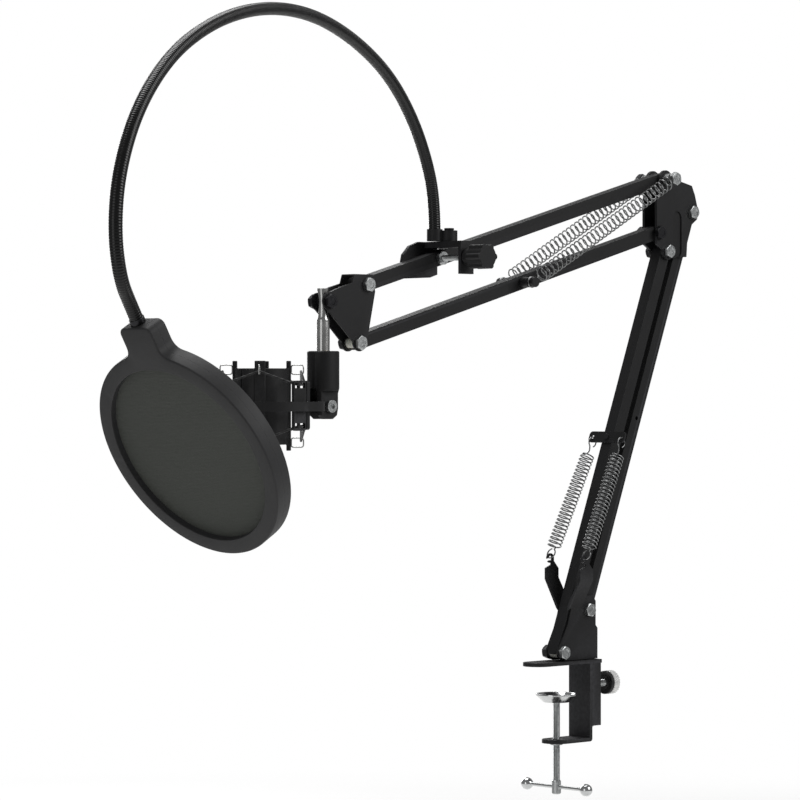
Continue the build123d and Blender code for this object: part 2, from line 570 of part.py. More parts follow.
def filter_clamp():
    """The small clamp on the upper bar: frame, screw with knob, pressure foot and post."""
    half = 7.0
    x_low, x_high = FILTER_CLAMP_X - half, FILTER_CLAMP_X + half
    leg_low, arm_top = 315.5, 341.5
    frame = Pos(FILTER_CLAMP_X, -11.5, arm_top - 2.5) * Box(2 * half, 47, 5)
    frame += Pos(FILTER_CLAMP_X, -33.5, (leg_low + arm_top) / 2) * Box(2 * half, 3, arm_top - leg_low)
    jaw = outline(
        (-130.0, 341.5), (-150.0, 341.5), (-160.0, 338.0), (-167.0, 331.0), (-169.0, 322.0), (-169.0, 312.0),
        (-138.0, 313.5), (-130.0, 316.0),
    )
    frame += side_plate(jaw, BAR_HALF + GAP, BAR_HALF + GAP + 3)
    frame += Pos(FILTER_CLAMP_X, 9.0, arm_top - 2.5) * Box(2 * half, 6, 5)
    screw_r = 2.4
    frame -= cross_rod((FILTER_CLAMP_X, CLAMP_SCREW_Z), screw_r + 0.05, -40, -30)
    bar = side_plate(SlotCenterToCenter(ARM_LENGTH, BAR_SIDE + 2 * GAP), -BAR_HALF, BAR_HALF)
    frame -= bar_place(ELBOW_TOP, HEAD_TOP) * bar
    save(frame, "filter_clamp_frame")

    foot_back = -BAR_HALF - GAP
    foot = cross_rod((FILTER_CLAMP_X, CLAMP_SCREW_Z), 5.2, foot_back - 3.0, foot_back)
    foot -= cross_rod((FILTER_CLAMP_X, CLAMP_SCREW_Z), screw_r - 0.8, foot_back - 4, foot_back - 1.2)
    save(foot, "pressure_foot")
    shoulder = foot_back - 3.0 - GAP
    screw = cross_rod((FILTER_CLAMP_X, CLAMP_SCREW_Z), screw_r, -50.0, shoulder)
    screw += cross_rod((FILTER_CLAMP_X, CLAMP_SCREW_Z), screw_r - 0.85, shoulder, foot_back - 1.6)
    save(screw, "filter_clamp_screw")

    knob_near, knob_far = -58.0, -36.0
    lobes = Circle(9.0)
    for turn in range(0, 360, 60):
        lobes += Rot(0, 0, turn) * Pos(8.0, 0) * Circle(2.5)
    knob = side_plate(Pos(FILTER_CLAMP_X, CLAMP_SCREW_Z) * lobes, knob_near, -43.0)
    knob += cross_rod((FILTER_CLAMP_X, CLAMP_SCREW_Z), 7.0, -43.0, knob_far)
    knob -= cross_rod((FILTER_CLAMP_X, CLAMP_SCREW_Z), screw_r, -50.0, knob_far + 1)
    save(knob, "filter_clamp_knob")

    post = upright(FILTER_CLAMP_X, POST_Y, 3.0, arm_top, 350.4)
    post += upright(FILTER_CLAMP_X, POST_Y, 3.9, 350.4, 352.0)
    save(post, "neck_post")


def gooseneck():
    """The bendable neck in three lengths, its socket on the post, and its lower ferrule."""
    socket_low, socket_high = 341.8, 350.1
    x, y = NECK_START
    socket = upright(FILTER_CLAMP_X, POST_Y, 6.6, socket_low, socket_high)
    arm_turn = math.degrees(math.atan2(y - POST_Y, x - FILTER_CLAMP_X))
    reach = math.dist((x, y), (FILTER_CLAMP_X, POST_Y))
    stem = Pos(reach / 2, 0, (socket_low + socket_high) / 2) * Box(reach, 7, socket_high - socket_low)
    socket += Location((FILTER_CLAMP_X, POST_Y, 0), (0, 0, arm_turn)) * stem
    socket += upright(x, y, 6.2, socket_low, socket_high + 1)
    socket -= upright(FILTER_CLAMP_X, POST_Y, 3.05, socket_low - 1, socket_high + 1)
    neck_base = 345.0
    socket -= upright(x, y, NECK_R, neck_base, 360)
    save(socket, "neck_socket")

    heading = (Vector(*NECK_END) - Vector(x, y, NECK_END[2])).normalized()
    route = [Vector(x, y, height) + heading * distance for distance, height in NECK_ROUTE]
    entry = FILTER_PLANE.from_local_coords((NECK_OFFSET, NECK_SEAT + 22.0, 0))
    route += [entry, FILTER_PLANE.from_local_coords((NECK_OFFSET, NECK_SEAT, 0))]
    first_cut = (route[FLEX_CORNER - 1] + route[FLEX_CORNER]) / 2
    second_cut = (route[FLEX_CORNER] + route[FLEX_CORNER + 1]) / 2
    neck_tube(route[:FLEX_CORNER] + [first_cut], 0, 0, "gooseneck_lower")
    neck_tube([first_cut, route[FLEX_CORNER], second_cut], 0, GAP, "gooseneck_middle")
    neck_tube([second_cut] + route[FLEX_CORNER + 1:], 0, 0, "gooseneck_upper")


def neck_tube(points, cut_start, cut_end, node):
    """A round tube on straight runs joined by the largest tangent arcs that the runs allow."""
    points = [Vector(point) for point in points]
    points[0] += (points[1] - points[0]).normalized() * cut_start
    points[-1] += (points[-2] - points[-1]).normalized() * cut_end
    radii = []
    for before, corner, after in zip(points, points[1:], points[2:]):
        short = min((corner - before).length, (after - corner).length)
        turn = math.radians((corner - before).get_angle(after - corner))
        radii.append(0.45 * short / math.tan(turn / 2))
    path = FilletPolyline(*points, radius=radii)
    first = Plane(origin=points[0], z_dir=points[1] - points[0])
    tube = sweep(first * Circle(NECK_R), path)
    expected = math.pi * NECK_R ** 2 * path.length
    print(node, "length", round(path.length, 1), "radii", [round(r) for r in radii],
          "volume ratio", round(tube.volume / expected, 4))
    save(tube, node)


def pop_filter():
    """The round screen: two moulded rims clamped round two meshes, with a neck for the ferrule."""
    neck_low, neck_high = -13.5, 17.0
    neck_middle = (neck_low + neck_high) / 2
    ferrule_low, ferrule_r = 79.0, 5.3
    tab = Pos(neck_middle, 85.0) * RectangleRounded(neck_high - neck_low, 26.0, 5.0)
    half = FILTER_HALF - 0.05
    seat_in = FILTER_IN + 2.5
    for sign, name in ((1, "front"), (-1, "back")):
        rim = Circle(FILTER_R) + tab
        low = 0.05 if sign > 0 else -FILTER_HALF
        shell = Pos(0, 0, low) * extrude(rim, amount=half)
        shell -= Pos(0, 0, -10) * extrude(Circle(FILTER_IN), amount=20)
        groove_low = 0 if sign > 0 else -4.0
        shell -= Pos(0, 0, groove_low) * extrude(Circle(seat_in + 1.5), amount=4.0)
        shell -= Location((NECK_OFFSET, ferrule_low, 0), (-90, 0, 0)) * extrude(Circle(ferrule_r), amount=40)
        save(FILTER_PLANE * shell, f"filter_rim_{name}")
        mesh_low = 3.0 if sign > 0 else -3.8
        mesh = Pos(0, 0, mesh_low) * extrude(Circle(seat_in + 1.2), amount=0.8)
        save(FILTER_PLANE * mesh, f"filter_mesh_{name}")
    spacer = Pos(0, 0, -2.9) * extrude(Circle(seat_in + 1.2) - Circle(FILTER_IN + 0.5), amount=5.8)
    save(FILTER_PLANE * spacer, "mesh_spacer")
    ferrule = Location((NECK_OFFSET, ferrule_low, 0), (-90, 0, 0)) * extrude(Circle(ferrule_r), amount=23.0)
    ferrule -= Location((NECK_OFFSET, NECK_SEAT, 0), (-90, 0, 0)) * extrude(Circle(NECK_R), amount=20)
    save(FILTER_PLANE * ferrule, "filter_ferrule")


desk_clamp()
clamp_screw()
lock_knob()
base_yoke()
lower_arm()
springs()
elbow()
upper_arm()
head_yoke()
spigot()
shock_mount()
filter_clamp()
gooseneck()
pop_filter()
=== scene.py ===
"""Looks of a spring-balanced desk arm for a microphone, with its shock mount and pop filter.

Everything is in metres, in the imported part's own frame, and MM turns millimetres into metres.
The arm lies in the plane y = 0 and reaches towards -X. -Y is the near side, with the bolt heads.
"""

import json
import math

import bmesh
import bpy
import numpy as np
from mathutils import Matrix, Vector

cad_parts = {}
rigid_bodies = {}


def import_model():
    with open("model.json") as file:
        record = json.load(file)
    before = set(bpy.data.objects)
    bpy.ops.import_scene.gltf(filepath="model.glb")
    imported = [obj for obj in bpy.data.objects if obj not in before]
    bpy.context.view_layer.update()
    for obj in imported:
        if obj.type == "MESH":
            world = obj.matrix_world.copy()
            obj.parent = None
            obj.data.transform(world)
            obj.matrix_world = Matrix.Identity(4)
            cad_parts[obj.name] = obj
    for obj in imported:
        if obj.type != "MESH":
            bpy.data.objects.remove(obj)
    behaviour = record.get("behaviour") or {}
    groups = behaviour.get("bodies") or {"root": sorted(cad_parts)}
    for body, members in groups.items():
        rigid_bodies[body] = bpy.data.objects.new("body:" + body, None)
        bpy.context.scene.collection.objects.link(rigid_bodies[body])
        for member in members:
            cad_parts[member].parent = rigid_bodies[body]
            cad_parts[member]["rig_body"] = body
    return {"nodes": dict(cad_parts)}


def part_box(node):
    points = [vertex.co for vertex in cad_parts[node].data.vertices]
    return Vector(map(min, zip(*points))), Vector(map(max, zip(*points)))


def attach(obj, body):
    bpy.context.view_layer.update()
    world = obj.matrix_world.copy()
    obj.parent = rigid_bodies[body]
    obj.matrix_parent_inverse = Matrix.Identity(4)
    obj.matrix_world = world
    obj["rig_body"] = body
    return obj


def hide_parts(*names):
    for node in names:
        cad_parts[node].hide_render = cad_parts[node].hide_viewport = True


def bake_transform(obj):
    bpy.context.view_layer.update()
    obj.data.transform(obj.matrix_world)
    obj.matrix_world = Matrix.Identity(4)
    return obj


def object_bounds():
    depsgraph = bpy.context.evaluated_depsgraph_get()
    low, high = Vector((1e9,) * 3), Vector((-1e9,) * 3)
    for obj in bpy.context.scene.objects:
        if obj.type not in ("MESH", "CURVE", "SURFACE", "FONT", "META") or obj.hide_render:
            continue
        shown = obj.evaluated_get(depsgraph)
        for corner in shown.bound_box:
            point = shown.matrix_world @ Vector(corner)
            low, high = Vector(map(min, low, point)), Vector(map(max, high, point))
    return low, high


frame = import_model()
cad_low, cad_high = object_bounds()
MM = 0.001

# ---- Camera ----
# A long lens level with the middle of the arm, off its reaching end and its near side.
camera = bpy.data.objects.new("camera", bpy.data.cameras.new("camera"))
bpy.context.scene.collection.objects.link(camera)
bpy.context.scene.camera = camera
camera.location = (-2.03802, -1.96266, 0.22686)
camera.rotation_euler = (math.radians(90 - 0.213), 0, math.radians(-43.487))
camera.data.lens = 155.57
camera.data.sensor_width = 36
camera.data.clip_end = 60


# ---- Floor, backdrop and lights ----
# A pale floor that thins out into a white surround, a large soft key from the near side, a weaker
# fill from the reaching end, and a strip overhead that draws the top edges of the bars.
def linear(code):
    """An sRGB hex colour as the linear RGBA that a shader takes."""
    parts = [int(code[i:i + 2], 16) / 255 for i in (1, 3, 5)]
    return (*[p / 12.92 if p <= 0.04045 else ((p + 0.055) / 1.055) ** 2.4 for p in parts], 1.0)


def add_node(tree, kind, links=None, **settings):
    """Add a node. links gives an input, by name or index, a value or another node's output."""
    made = tree.nodes.new(kind)
    for name, value in settings.items():
        setattr(made, name, value)
    for key, value in (links or {}).items():
        if isinstance(value, bpy.types.NodeSocket):
            tree.links.new(value, made.inputs[key])
        else:
            made.inputs[key].default_value = value
    return made


def put(name, mesh):
    """A new object that holds the mesh."""
    made = bpy.data.objects.new(name, mesh)
    bpy.context.scene.collection.objects.link(made)
    return made


FLOOR_DROP = 0.25
FLOOR_R = 7.0
floor_mesh = bpy.data.meshes.new("floor")
floor_build = bmesh.new()
bmesh.ops.create_circle(floor_build, cap_ends=True, segments=96, radius=FLOOR_R)
floor_build.to_mesh(floor_mesh)
floor_build.free()
floor = put("floor", floor_mesh)
floor.location = (-0.2, 0, cad_low.z - FLOOR_DROP)

paper = bpy.data.materials.new("white_paper_floor")
paper.use_nodes = True
tree = paper.node_tree
tree.nodes.clear()
coords = add_node(tree, "ShaderNodeTexCoord")
radius = add_node(tree, "ShaderNodeVectorMath", {0: coords.outputs["Object"]}, operation="LENGTH")
fade = add_node(tree, "ShaderNodeMapRange", {
    "Value": radius.outputs["Value"], "From Min": 0.9, "From Max": 2.6}, interpolation_type="SMOOTHSTEP")
fibre = add_node(tree, "ShaderNodeTexNoise", {"Vector": coords.outputs["Object"], "Scale": 300.0})
tint = add_node(tree, "ShaderNodeMix", {
    "Factor": fibre.outputs["Fac"], 6: linear("#f4f4f3"), 7: linear("#fbfbfa")}, data_type="RGBA")
matt = add_node(tree, "ShaderNodeBsdfDiffuse", {"Color": tint.outputs[2]})
clear = add_node(tree, "ShaderNodeBsdfTransparent")
mixed = add_node(tree, "ShaderNodeMixShader", {0: fade.outputs[0], 1: matt.outputs[0], 2: clear.outputs[0]})
add_node(tree, "ShaderNodeOutputMaterial", {0: mixed.outputs[0]})
floor_mesh.materials.append(paper)

world = bpy.data.worlds.new("studio")
bpy.context.scene.world = world
bpy.context.scene.view_settings.view_transform = "Standard"
world.use_nodes = True
tree = world.node_tree
tree.nodes.clear()
seen = add_node(tree, "ShaderNodeBackground", {"Color": linear("#ffffff"), "Strength": 1.0})
room = add_node(tree, "ShaderNodeBackground", {"Color": linear("#ffffff"), "Strength": 0.20})
path = add_node(tree, "ShaderNodeLightPath")
sky = add_node(tree, "ShaderNodeMixShader", {
    0: path.outputs["Is Camera Ray"], 1: room.outputs[0], 2: seen.outputs[0]})
add_node(tree, "ShaderNodeOutputWorld", {0: sky.outputs[0]})

SUBJECT = Vector((-0.25, -0.05, 0.2))


def softbox(name, towards, distance, width, height, watts):
    """A soft area light that stands off the subject in a direction and faces it."""
    lamp = bpy.data.lights.new(name, "AREA")
    lamp.shape = "RECTANGLE"
    lamp.size, lamp.size_y, lamp.energy = width, height, watts
    made = bpy.data.objects.new(name, lamp)
    bpy.context.scene.collection.objects.link(made)
    back = Vector(towards).normalized()
    made.location = SUBJECT + back * distance
    made.rotation_euler = back.to_track_quat("Z", "Y").to_euler()


softbox("key", (0.45, -0.80, 0.50), 2.4, 1.5, 1.5, 27)
softbox("fill", (-0.95, -0.15, 0.10), 2.4, 1.2, 1.8, 7)
softbox("overhead", (0.10, 0.25, 1.0), 2.0, 1.6, 0.8, 26)
softbox("rear", (0.5, 0.9, 0.25), 2.4, 0.8, 1.8, 20)


# ---- Desk clamp and swivel socket ----
# A bent steel strip with a folded lower jaw and a die-cast socket on its back, all in satin black
# powder coat. The strip's edges are rounded by the coat.
def start_material(name, **shader_values):
    """A material with one Principled shader. Also returns the place on the piece in millimetres."""
    material = bpy.data.materials.new(name)
    material.use_nodes = True
    tree = material.node_tree
    tree.nodes.clear()
    named = {key.replace("_", " "): value for key, value in shader_values.items()}
    shader = add_node(tree, "ShaderNodeBsdfPrincipled", named)
    add_node(tree, "ShaderNodeOutputMaterial", {0: shader.outputs[0]})
    coords = add_node(tree, "ShaderNodeTexCoord")
    place = add_node(tree, "ShaderNodeVectorMath", {0: coords.outputs["Object"], "Scale": 1000.0},
                     operation="SCALE")
    return material, tree, shader, place.outputs[0]


def vary(tree, shader, place, blotch_mm, dark, pale, smooth, rough):
    """Slow change of colour and roughness over a surface, in blotches of about a real size."""
    blotch = add_node(tree, "ShaderNodeTexNoise", {"Vector": place, "Scale": 1 / blotch_mm, "Detail": 4.0})
    colour = add_node(tree, "ShaderNodeMix", {
        "Factor": blotch.outputs["Fac"], 6: linear(dark), 7: linear(pale)}, data_type="RGBA")
    gloss = add_node(tree, "ShaderNodeMapRange", {
        "Value": blotch.outputs["Fac"], "From Min": 0.3, "From Max": 0.7, "To Min": smooth, "To Max": rough})
    tree.links.new(colour.outputs[2], shader.inputs["Base Color"])
    tree.links.new(gloss.outputs[0], shader.inputs["Roughness"])
    return colour.outputs[2]


def wear_edges(tree, shader, place, colour, worn, amount):
    """Rub the outer edges to a paler colour, broken up by a noise of about 3 mm."""
    shape = add_node(tree, "ShaderNodeNewGeometry")
    edge = add_node(tree, "ShaderNodeMapRange", {
        "Value": shape.outputs["Pointiness"], "From Min": 0.52, "From Max": 0.62, "To Max": amount})
    patch = add_node(tree, "ShaderNodeTexNoise", {"Vector": place, "Scale": 1 / 3.0, "Detail": 3.0})
    share = add_node(tree, "ShaderNodeMath", {0: edge.outputs[0], 1: patch.outputs["Fac"]}, operation="MULTIPLY")
    mixed = add_node(tree, "ShaderNodeMix", {
        "Factor": share.outputs[0], 6: colour, 7: linear(worn)}, data_type="RGBA")
    tree.links.new(mixed.outputs[2], shader.inputs["Base Color"])


def emboss(tree, shader, height, depth_mm, before=None):
    """Bump of a real depth from a 0 to 1 height, over any bump that is there already."""
    bump = add_node(tree, "ShaderNodeBump", {"Height": height, "Strength": 1.0, "Distance": depth_mm * MM})
    if before is not None:
        tree.links.new(before, bump.inputs["Normal"])
    tree.links.new(bump.outputs[0], shader.inputs["Normal"])
    return bump.outputs[0]


def make_powder_coat():
    """Satin black polyester powder coat, sprayed and baked: a fine orange peel of about 0.9 mm
    that breaks up highlights, with slightly paler edges where the coat is thin."""
    material, tree, shader, place = start_material("powder_coated_steel", Specular_IOR_Level=0.28)
    colour = vary(tree, shader, place, 22.0, "#161617", "#1b1b1c", 0.44, 0.54)
    wear_edges(tree, shader, place, colour, "#47474b", 0.8)
    peel = add_node(tree, "ShaderNodeTexNoise", {"Vector": place, "Scale": 1 / 0.9, "Detail": 2.0})
    emboss(tree, shader, peel.outputs["Fac"], 0.035)
    return material


def fit(piece, body, slot, *nodes):
    """Fix a finished piece to its body, in place of the plain nodes that it stands for."""
    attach(piece, body)
    if nodes:
        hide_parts(*nodes)
    return piece


def smooth_faces(mesh, degrees=32):
    """Smooth shading with creases at the sharper edges."""
    mesh.shade_smooth()
    mesh.set_sharp_from_angle(angle=math.radians(degrees))


def plain_mesh(maker, name):
    """The evaluated result of an object as a plain mesh piece. The maker is removed."""
    graph = bpy.context.evaluated_depsgraph_get()
    mesh = bpy.data.meshes.new_from_object(maker.evaluated_get(graph), depsgraph=graph)
    mesh.name = name
    bpy.data.objects.remove(maker)
    return put(name, mesh)


def ease_node(name, node, radius_mm, material, slot, rings=2):
    """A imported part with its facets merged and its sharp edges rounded, in place of its node."""
    mesh = frame["nodes"][node].data.copy()
    build = bmesh.new()
    build.from_mesh(mesh)
    bmesh.ops.remove_doubles(build, verts=build.verts, dist=0.002 * MM)
    bmesh.ops.dissolve_limit(build, angle_limit=math.radians(0.5), verts=build.verts, edges=build.edges)
    build.to_mesh(mesh)
    build.free()
    smooth_faces(mesh)
    maker = put("maker", mesh)
    bevel = maker.modifiers.new("eased", "BEVEL")
    bevel.width = radius_mm * MM
    bevel.segments = rings
    bevel.limit_method = "ANGLE"
    bevel.angle_limit = math.radians(32)
    flat = maker.modifiers.new("flat_faces", "WEIGHTED_NORMAL")
    flat.keep_sharp = True
    piece = plain_mesh(maker, name)
    piece.data.materials.clear()
    piece.data.materials.append(material)
    return fit(piece, frame["nodes"][node]["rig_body"], slot, node)


def dress(material, *nodes):
    """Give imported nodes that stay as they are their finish."""
    for node in nodes:
        mesh = frame["nodes"][node].data
        mesh.materials.clear()
        mesh.materials.append(material)


powder_coat = make_powder_coat()
ease_node("clamp_strip", "clamp_frame", 0.6, powder_coat, "black_powder_coat", 3)
ease_node("socket_casting", "swivel_socket", 0.9, powder_coat, "black_powder_coat", 3)


# ---- Clamp screw, nut, pad and tommy bar ----
# An M6 screw in bright zinc with a rolled thread, a pressed chrome pad that turns on its tip, and a
# chromed bar with a ball at each end that slides through its foot.
def make_zinc_plate():
    """Bright zinc plate on steel: a bluish pale grey metal, faintly mottled, dulled in its dips."""
    material, tree, shader, place = start_material("zinc_plated_steel", Metallic=1.0)
    vary(tree, shader, place, 2.2, "#9ea1a3", "#d2d4d3", 0.26, 0.40)
    grain = add_node(tree, "ShaderNodeTexNoise", {"Vector": place, "Scale": 1 / 0.35, "Detail": 3.0})
    emboss(tree, shader, grain.outputs["Fac"], 0.012)
    return material


def make_chrome():
    """Bright chrome plate over a polished pressing: near mirror, with faint polishing waves."""
    material, tree, shader, place = start_material("chromed_steel", Metallic=1.0)
    vary(tree, shader, place, 9.0, "#c9cbcc", "#dfe0e0", 0.09, 0.17)
    wave = add_node(tree, "ShaderNodeTexNoise", {"Vector": place, "Scale": 1 / 4.0, "Detail": 2.0})
    emboss(tree, shader, wave.outputs["Fac"], 0.03)
    return material


def quads(rows, columns, close_rows=False):
    """Faces of a grid of points laid out row by row. Each row is a closed ring."""
    faces = []
    for row in range(rows if close_rows else rows - 1):
        below, above = row * columns, (row + 1) % rows * columns
        for column in range(columns):
            beside = (column + 1) % columns
            faces.append((below + column, below + beside, above + beside, above + column))
    return faces


def mesh_piece(name, points, faces, material, degrees=32):
    """A piece from points in metres and faces, smooth between creases, with outward normals."""
    mesh = bpy.data.meshes.new(name)
    mesh.from_pydata([tuple(p) for p in points], [], faces)
    build = bmesh.new()
    build.from_mesh(mesh)
    bmesh.ops.recalc_face_normals(build, faces=build.faces)
    build.to_mesh(mesh)
    build.free()
    mesh.materials.append(material)
    smooth_faces(mesh, degrees)
    return put(name, mesh)


def join(name, pieces):
    """Several objects as one piece, with the first one's place and materials."""
    build = bmesh.new()
    materials = []
    for piece in pieces:
        start = len(build.faces)
        build.from_mesh(piece.data)
        build.faces.ensure_lookup_table()
        for material in piece.data.materials:
            if material not in materials:
                materials.append(material)
        for face in build.faces[start:]:
            face.material_index = materials.index(piece.data.materials[face.material_index])
    mesh = bpy.data.meshes.new(name)
    build.to_mesh(mesh)
    build.free()
    for material in materials:
        mesh.materials.append(material)
    for piece in pieces:
        bpy.data.objects.remove(piece)
    return put(name, mesh)


def turned(name, profile, material, matrix, sides=48, degrees=32):
    """A closed turned shape from (radius, height) points in mm, placed by a matrix in metres.

    A profile that ends on the axis is closed by its last point. Otherwise it is a ring's section.
    """
    ring = profile[0][0] > 0 and profile[-1][0] > 0
    points, faces = [], []
    for r, z in profile:
        for step in range(sides):
            turn = 2 * math.pi * step / sides
            points.append(matrix @ Vector((r * math.cos(turn), r * math.sin(turn), z)) * 1.0)
    faces = quads(len(profile), sides, close_rows=ring)
    piece = mesh_piece(name, points, faces, material, degrees)
    build = bmesh.new()
    build.from_mesh(piece.data)
    bmesh.ops.remove_doubles(build, verts=build.verts, dist=0.001 * MM)
    bmesh.ops.recalc_face_normals(build, faces=build.faces)
    build.to_mesh(piece.data)
    build.free()
    return piece


def stand(origin_mm, towards=(0, 0, 1)):
    """A matrix from local millimetres, with local Z along a direction, to the part's metres."""
    turn = Vector(towards).to_track_quat("Z", "Y").to_matrix().to_4x4()
    return Matrix.Translation(Vector(origin_mm) * MM) @ turn @ Matrix.Scale(MM, 4)


def thread(name, matrix, radius, pitch, length, material, sides=24, steps=5):
    """A rolled thread: a helical ridge round a rod, drawn to a round-topped trapezium."""
    depth = 0.6 * pitch
    rows = max(2, round(length / pitch * steps)) + 1
    points = []
    for row in range(rows):
        z = length * row / (rows - 1)
        for side in range(sides):
            turn = 2 * math.pi * side / sides
            phase = (z / pitch - side / sides) % 1
            ridge = 0.5 + 0.5 * math.cos(2 * math.pi * phase)
            run_out = min(1.0, z / pitch, (length - z) / pitch)
            r = radius - depth * (1 - ridge ** 0.8) * max(0.15, run_out)
            points.append(matrix @ Vector((r * math.cos(turn), r * math.sin(turn), z)))
    faces = quads(rows, sides)
    faces.append(tuple(range(sides)))
    faces.append(tuple((rows - 1) * sides + side for side in range(sides)))
    return mesh_piece(name, points, faces, material, 60)


zinc = make_zinc_plate()
chrome = make_chrome()
TOMMY_Z = -100.0
SCREW_LOW = -105.8
SCREW_BOSS_TOP = -94.5
PAD_SEAT = -30.6
ease_node("pad_dish", "clamp_pad", 0.25, chrome, "chrome_plate")
rod = thread("rod", stand((0, 0, SCREW_BOSS_TOP - 1)), 3.0, 1.0, PAD_SEAT - 0.3 - SCREW_BOSS_TOP + 1, zinc)
boss = turned("boss", [(0, 0), (2.9, 0), (3.7, 0.8), (3.7, 10.5), (3.0, 11.3), (0, 11.3)], zinc,
              stand((0, 0, SCREW_LOW)))
tip = turned("tip", [(0, 0), (2.0, 0), (2.0, 2.1), (3.3, 2.3), (2.6, 3.0), (0, 3.1)], zinc,
             stand((0, 0, PAD_SEAT - 0.35)))
fit(join("clamping_screw", [rod, boss, tip]), "screw", "bright_zinc", "clamp_screw")
dress(zinc, "clamp_nut")

BALL_Y, BALL_R, TOMMY_R = 33.4, 5.0, 1.5
tommy_profile = [(0, -BALL_Y - BALL_R)]
for end in (-1, 1):
    neck = math.asin(TOMMY_R / BALL_R)
    for step in range(1, 13):
        turn = neck + (math.pi - neck) * (12 - step) / 12
        if end > 0:
            turn = math.pi - (neck + (math.pi - neck) * (step - 1) / 12) + 0
            tommy_profile.append((BALL_R * math.sin(neck + (math.pi - neck) * (step - 1) / 12),
                                  BALL_Y - BALL_R * math.cos(neck + (math.pi - neck) * (step - 1) / 12)))
        else:
            tommy_profile.append((BALL_R * math.sin(turn), -BALL_Y + BALL_R * math.cos(turn)))
tommy_profile.append((0, BALL_Y + BALL_R))
tommy = turned("tommy_handle", tommy_profile, chrome, stand((0, 0, TOMMY_Z), (0, 1, 0)), 32)
fit(tommy, "tommy", "chrome_plate", "tommy_bar")


# ---- Lock screw and knob ----
# The arm's swivel is locked by an M6 screw with a two-part knob: a moulded black flange, and a
# ribbed grip in white chrome pressed over it.
def make_moulded_plastic(name, dark, pale, smooth, rough):
    """Injection-moulded ABS with a fine spark-eroded texture of about 0.5 mm: dark and matt, with
    soft broad highlights."""
    material, tree, shader, place = start_material(name, Specular_IOR_Level=0.3)
    colour = vary(tree, shader, place, 30.0, dark, pale, smooth, rough)
    wear_edges(tree, shader, place, colour, "#4b4b4d", 0.5)
    spark = add_node(tree, "ShaderNodeTexNoise", {"Vector": place, "Scale": 1 / 0.5, "Detail": 4.0})
    emboss(tree, shader, spark.outputs["Fac"], 0.03)
    return material


def make_satin_white():
    """White satin plating on the knob's grip: bright, with a soft metal sheen."""
    material, tree, shader, place = start_material("satin_white_plate", Metallic=0.35)
    vary(tree, shader, place, 4.0, "#d9d9d8", "#efefee", 0.28, 0.40)
    grain = add_node(tree, "ShaderNodeTexNoise", {"Vector": place, "Scale": 1 / 0.4, "Detail": 2.0})
    emboss(tree, shader, grain.outputs["Fac"], 0.01)
    return material


def geometry_tree(name, sizes):
    """A Geometry Nodes tree with named sizes. Returns the tree, its input and its output node."""
    tree = bpy.data.node_groups.new(name, "GeometryNodeTree")
    tree.is_modifier = True
    tree.interface.new_socket("Geometry", in_out="INPUT", socket_type="NodeSocketGeometry")
    for label, value in sizes.items():
        kind = "NodeSocketInt" if isinstance(value, int) else "NodeSocketFloat"
        tree.interface.new_socket(label, in_out="INPUT", socket_type=kind).default_value = value
    tree.interface.new_socket("Geometry", in_out="OUTPUT", socket_type="NodeSocketGeometry")
    return tree, add_node(tree, "NodeGroupInput"), add_node(tree, "NodeGroupOutput")


def close_tree(tree, output, geometry, material):
    """End a tree in Realize Instances and Set Material."""
    real = add_node(tree, "GeometryNodeRealizeInstances", {"Geometry": geometry})
    done = add_node(tree, "GeometryNodeSetMaterial", {"Geometry": real.outputs[0], "Material": material})
    tree.links.new(done.outputs[0], output.inputs[0])


def run_tree(name, tree, start, **sizes):
    """A plain mesh piece grown by a tree from a starting mesh or curve."""
    maker = put("maker", start)
    grow = maker.modifiers.new("grow", "NODES")
    grow.node_group = tree
    for item in tree.interface.items_tree:
        if item.in_out == "INPUT" and item.name.replace(" ", "_") in sizes:
            grow[item.identifier] = sizes[item.name.replace(" ", "_")]
    return plain_mesh(maker, name)


def ribs_tree(material):
    """Round-topped ribs side by side round a ring on the local Z axis."""
    tree, entry, exit_node = geometry_tree("grip_ribs", {
        "Ribs": 28, "Rib radius": 0.6 * MM, "Ring radius": 9.2 * MM, "Rib length": 6.0 * MM})
    circle = add_node(tree, "GeometryNodeMeshCircle", {
        "Vertices": entry.outputs["Ribs"], "Radius": entry.outputs["Ring radius"]})
    rib = add_node(tree, "GeometryNodeMeshCylinder", {
        "Vertices": 8, "Radius": entry.outputs["Rib radius"], "Depth": entry.outputs["Rib length"]})
    spread = add_node(tree, "GeometryNodeInstanceOnPoints", {
        "Points": circle.outputs[0], "Instance": rib.outputs["Mesh"]})
    close_tree(tree, exit_node, spread.outputs[0], material)
    return tree


black_plastic = make_moulded_plastic("moulded_black_abs", "#151516", "#1b1b1c", 0.42, 0.55)
satin_white = make_satin_white()
LOCK_Z = -18.0
KNOB_FRONT, KNOB_BACK, KNOB_R = 56.3, 67.2, 9.85
FLANGE_THICK = 3.4
flange = turned("flange", [
    (3.05, 0), (5.2, 0), (5.6, 0.7), (8.2, 0.7), (9.3, 0.2), (9.6, 0.6), (9.6, FLANGE_THICK - 0.4),
    (9.3, FLANGE_THICK), (8.2, FLANGE_THICK), (8.2, KNOB_BACK - KNOB_FRONT - 0.6),
    (7.6, KNOB_BACK - KNOB_FRONT), (3.4, KNOB_BACK - KNOB_FRONT), (3.05, 8.0)], black_plastic,
    stand((KNOB_FRONT, 0, LOCK_Z), (1, 0, 0)))
fit(flange, "lock", "black_plastic", "lock_knob_core")
grip_low = FLANGE_THICK + 0.1
grip_high = KNOB_BACK - KNOB_FRONT - 0.8
grip_ring = turned("grip_ring", [
    (8.3, grip_low), (9.0, grip_low), (9.35, grip_low + 0.4), (9.35, grip_high - 0.4), (9.0, grip_high),
    (8.3, grip_high)], satin_white, stand((KNOB_FRONT, 0, LOCK_Z), (1, 0, 0)))
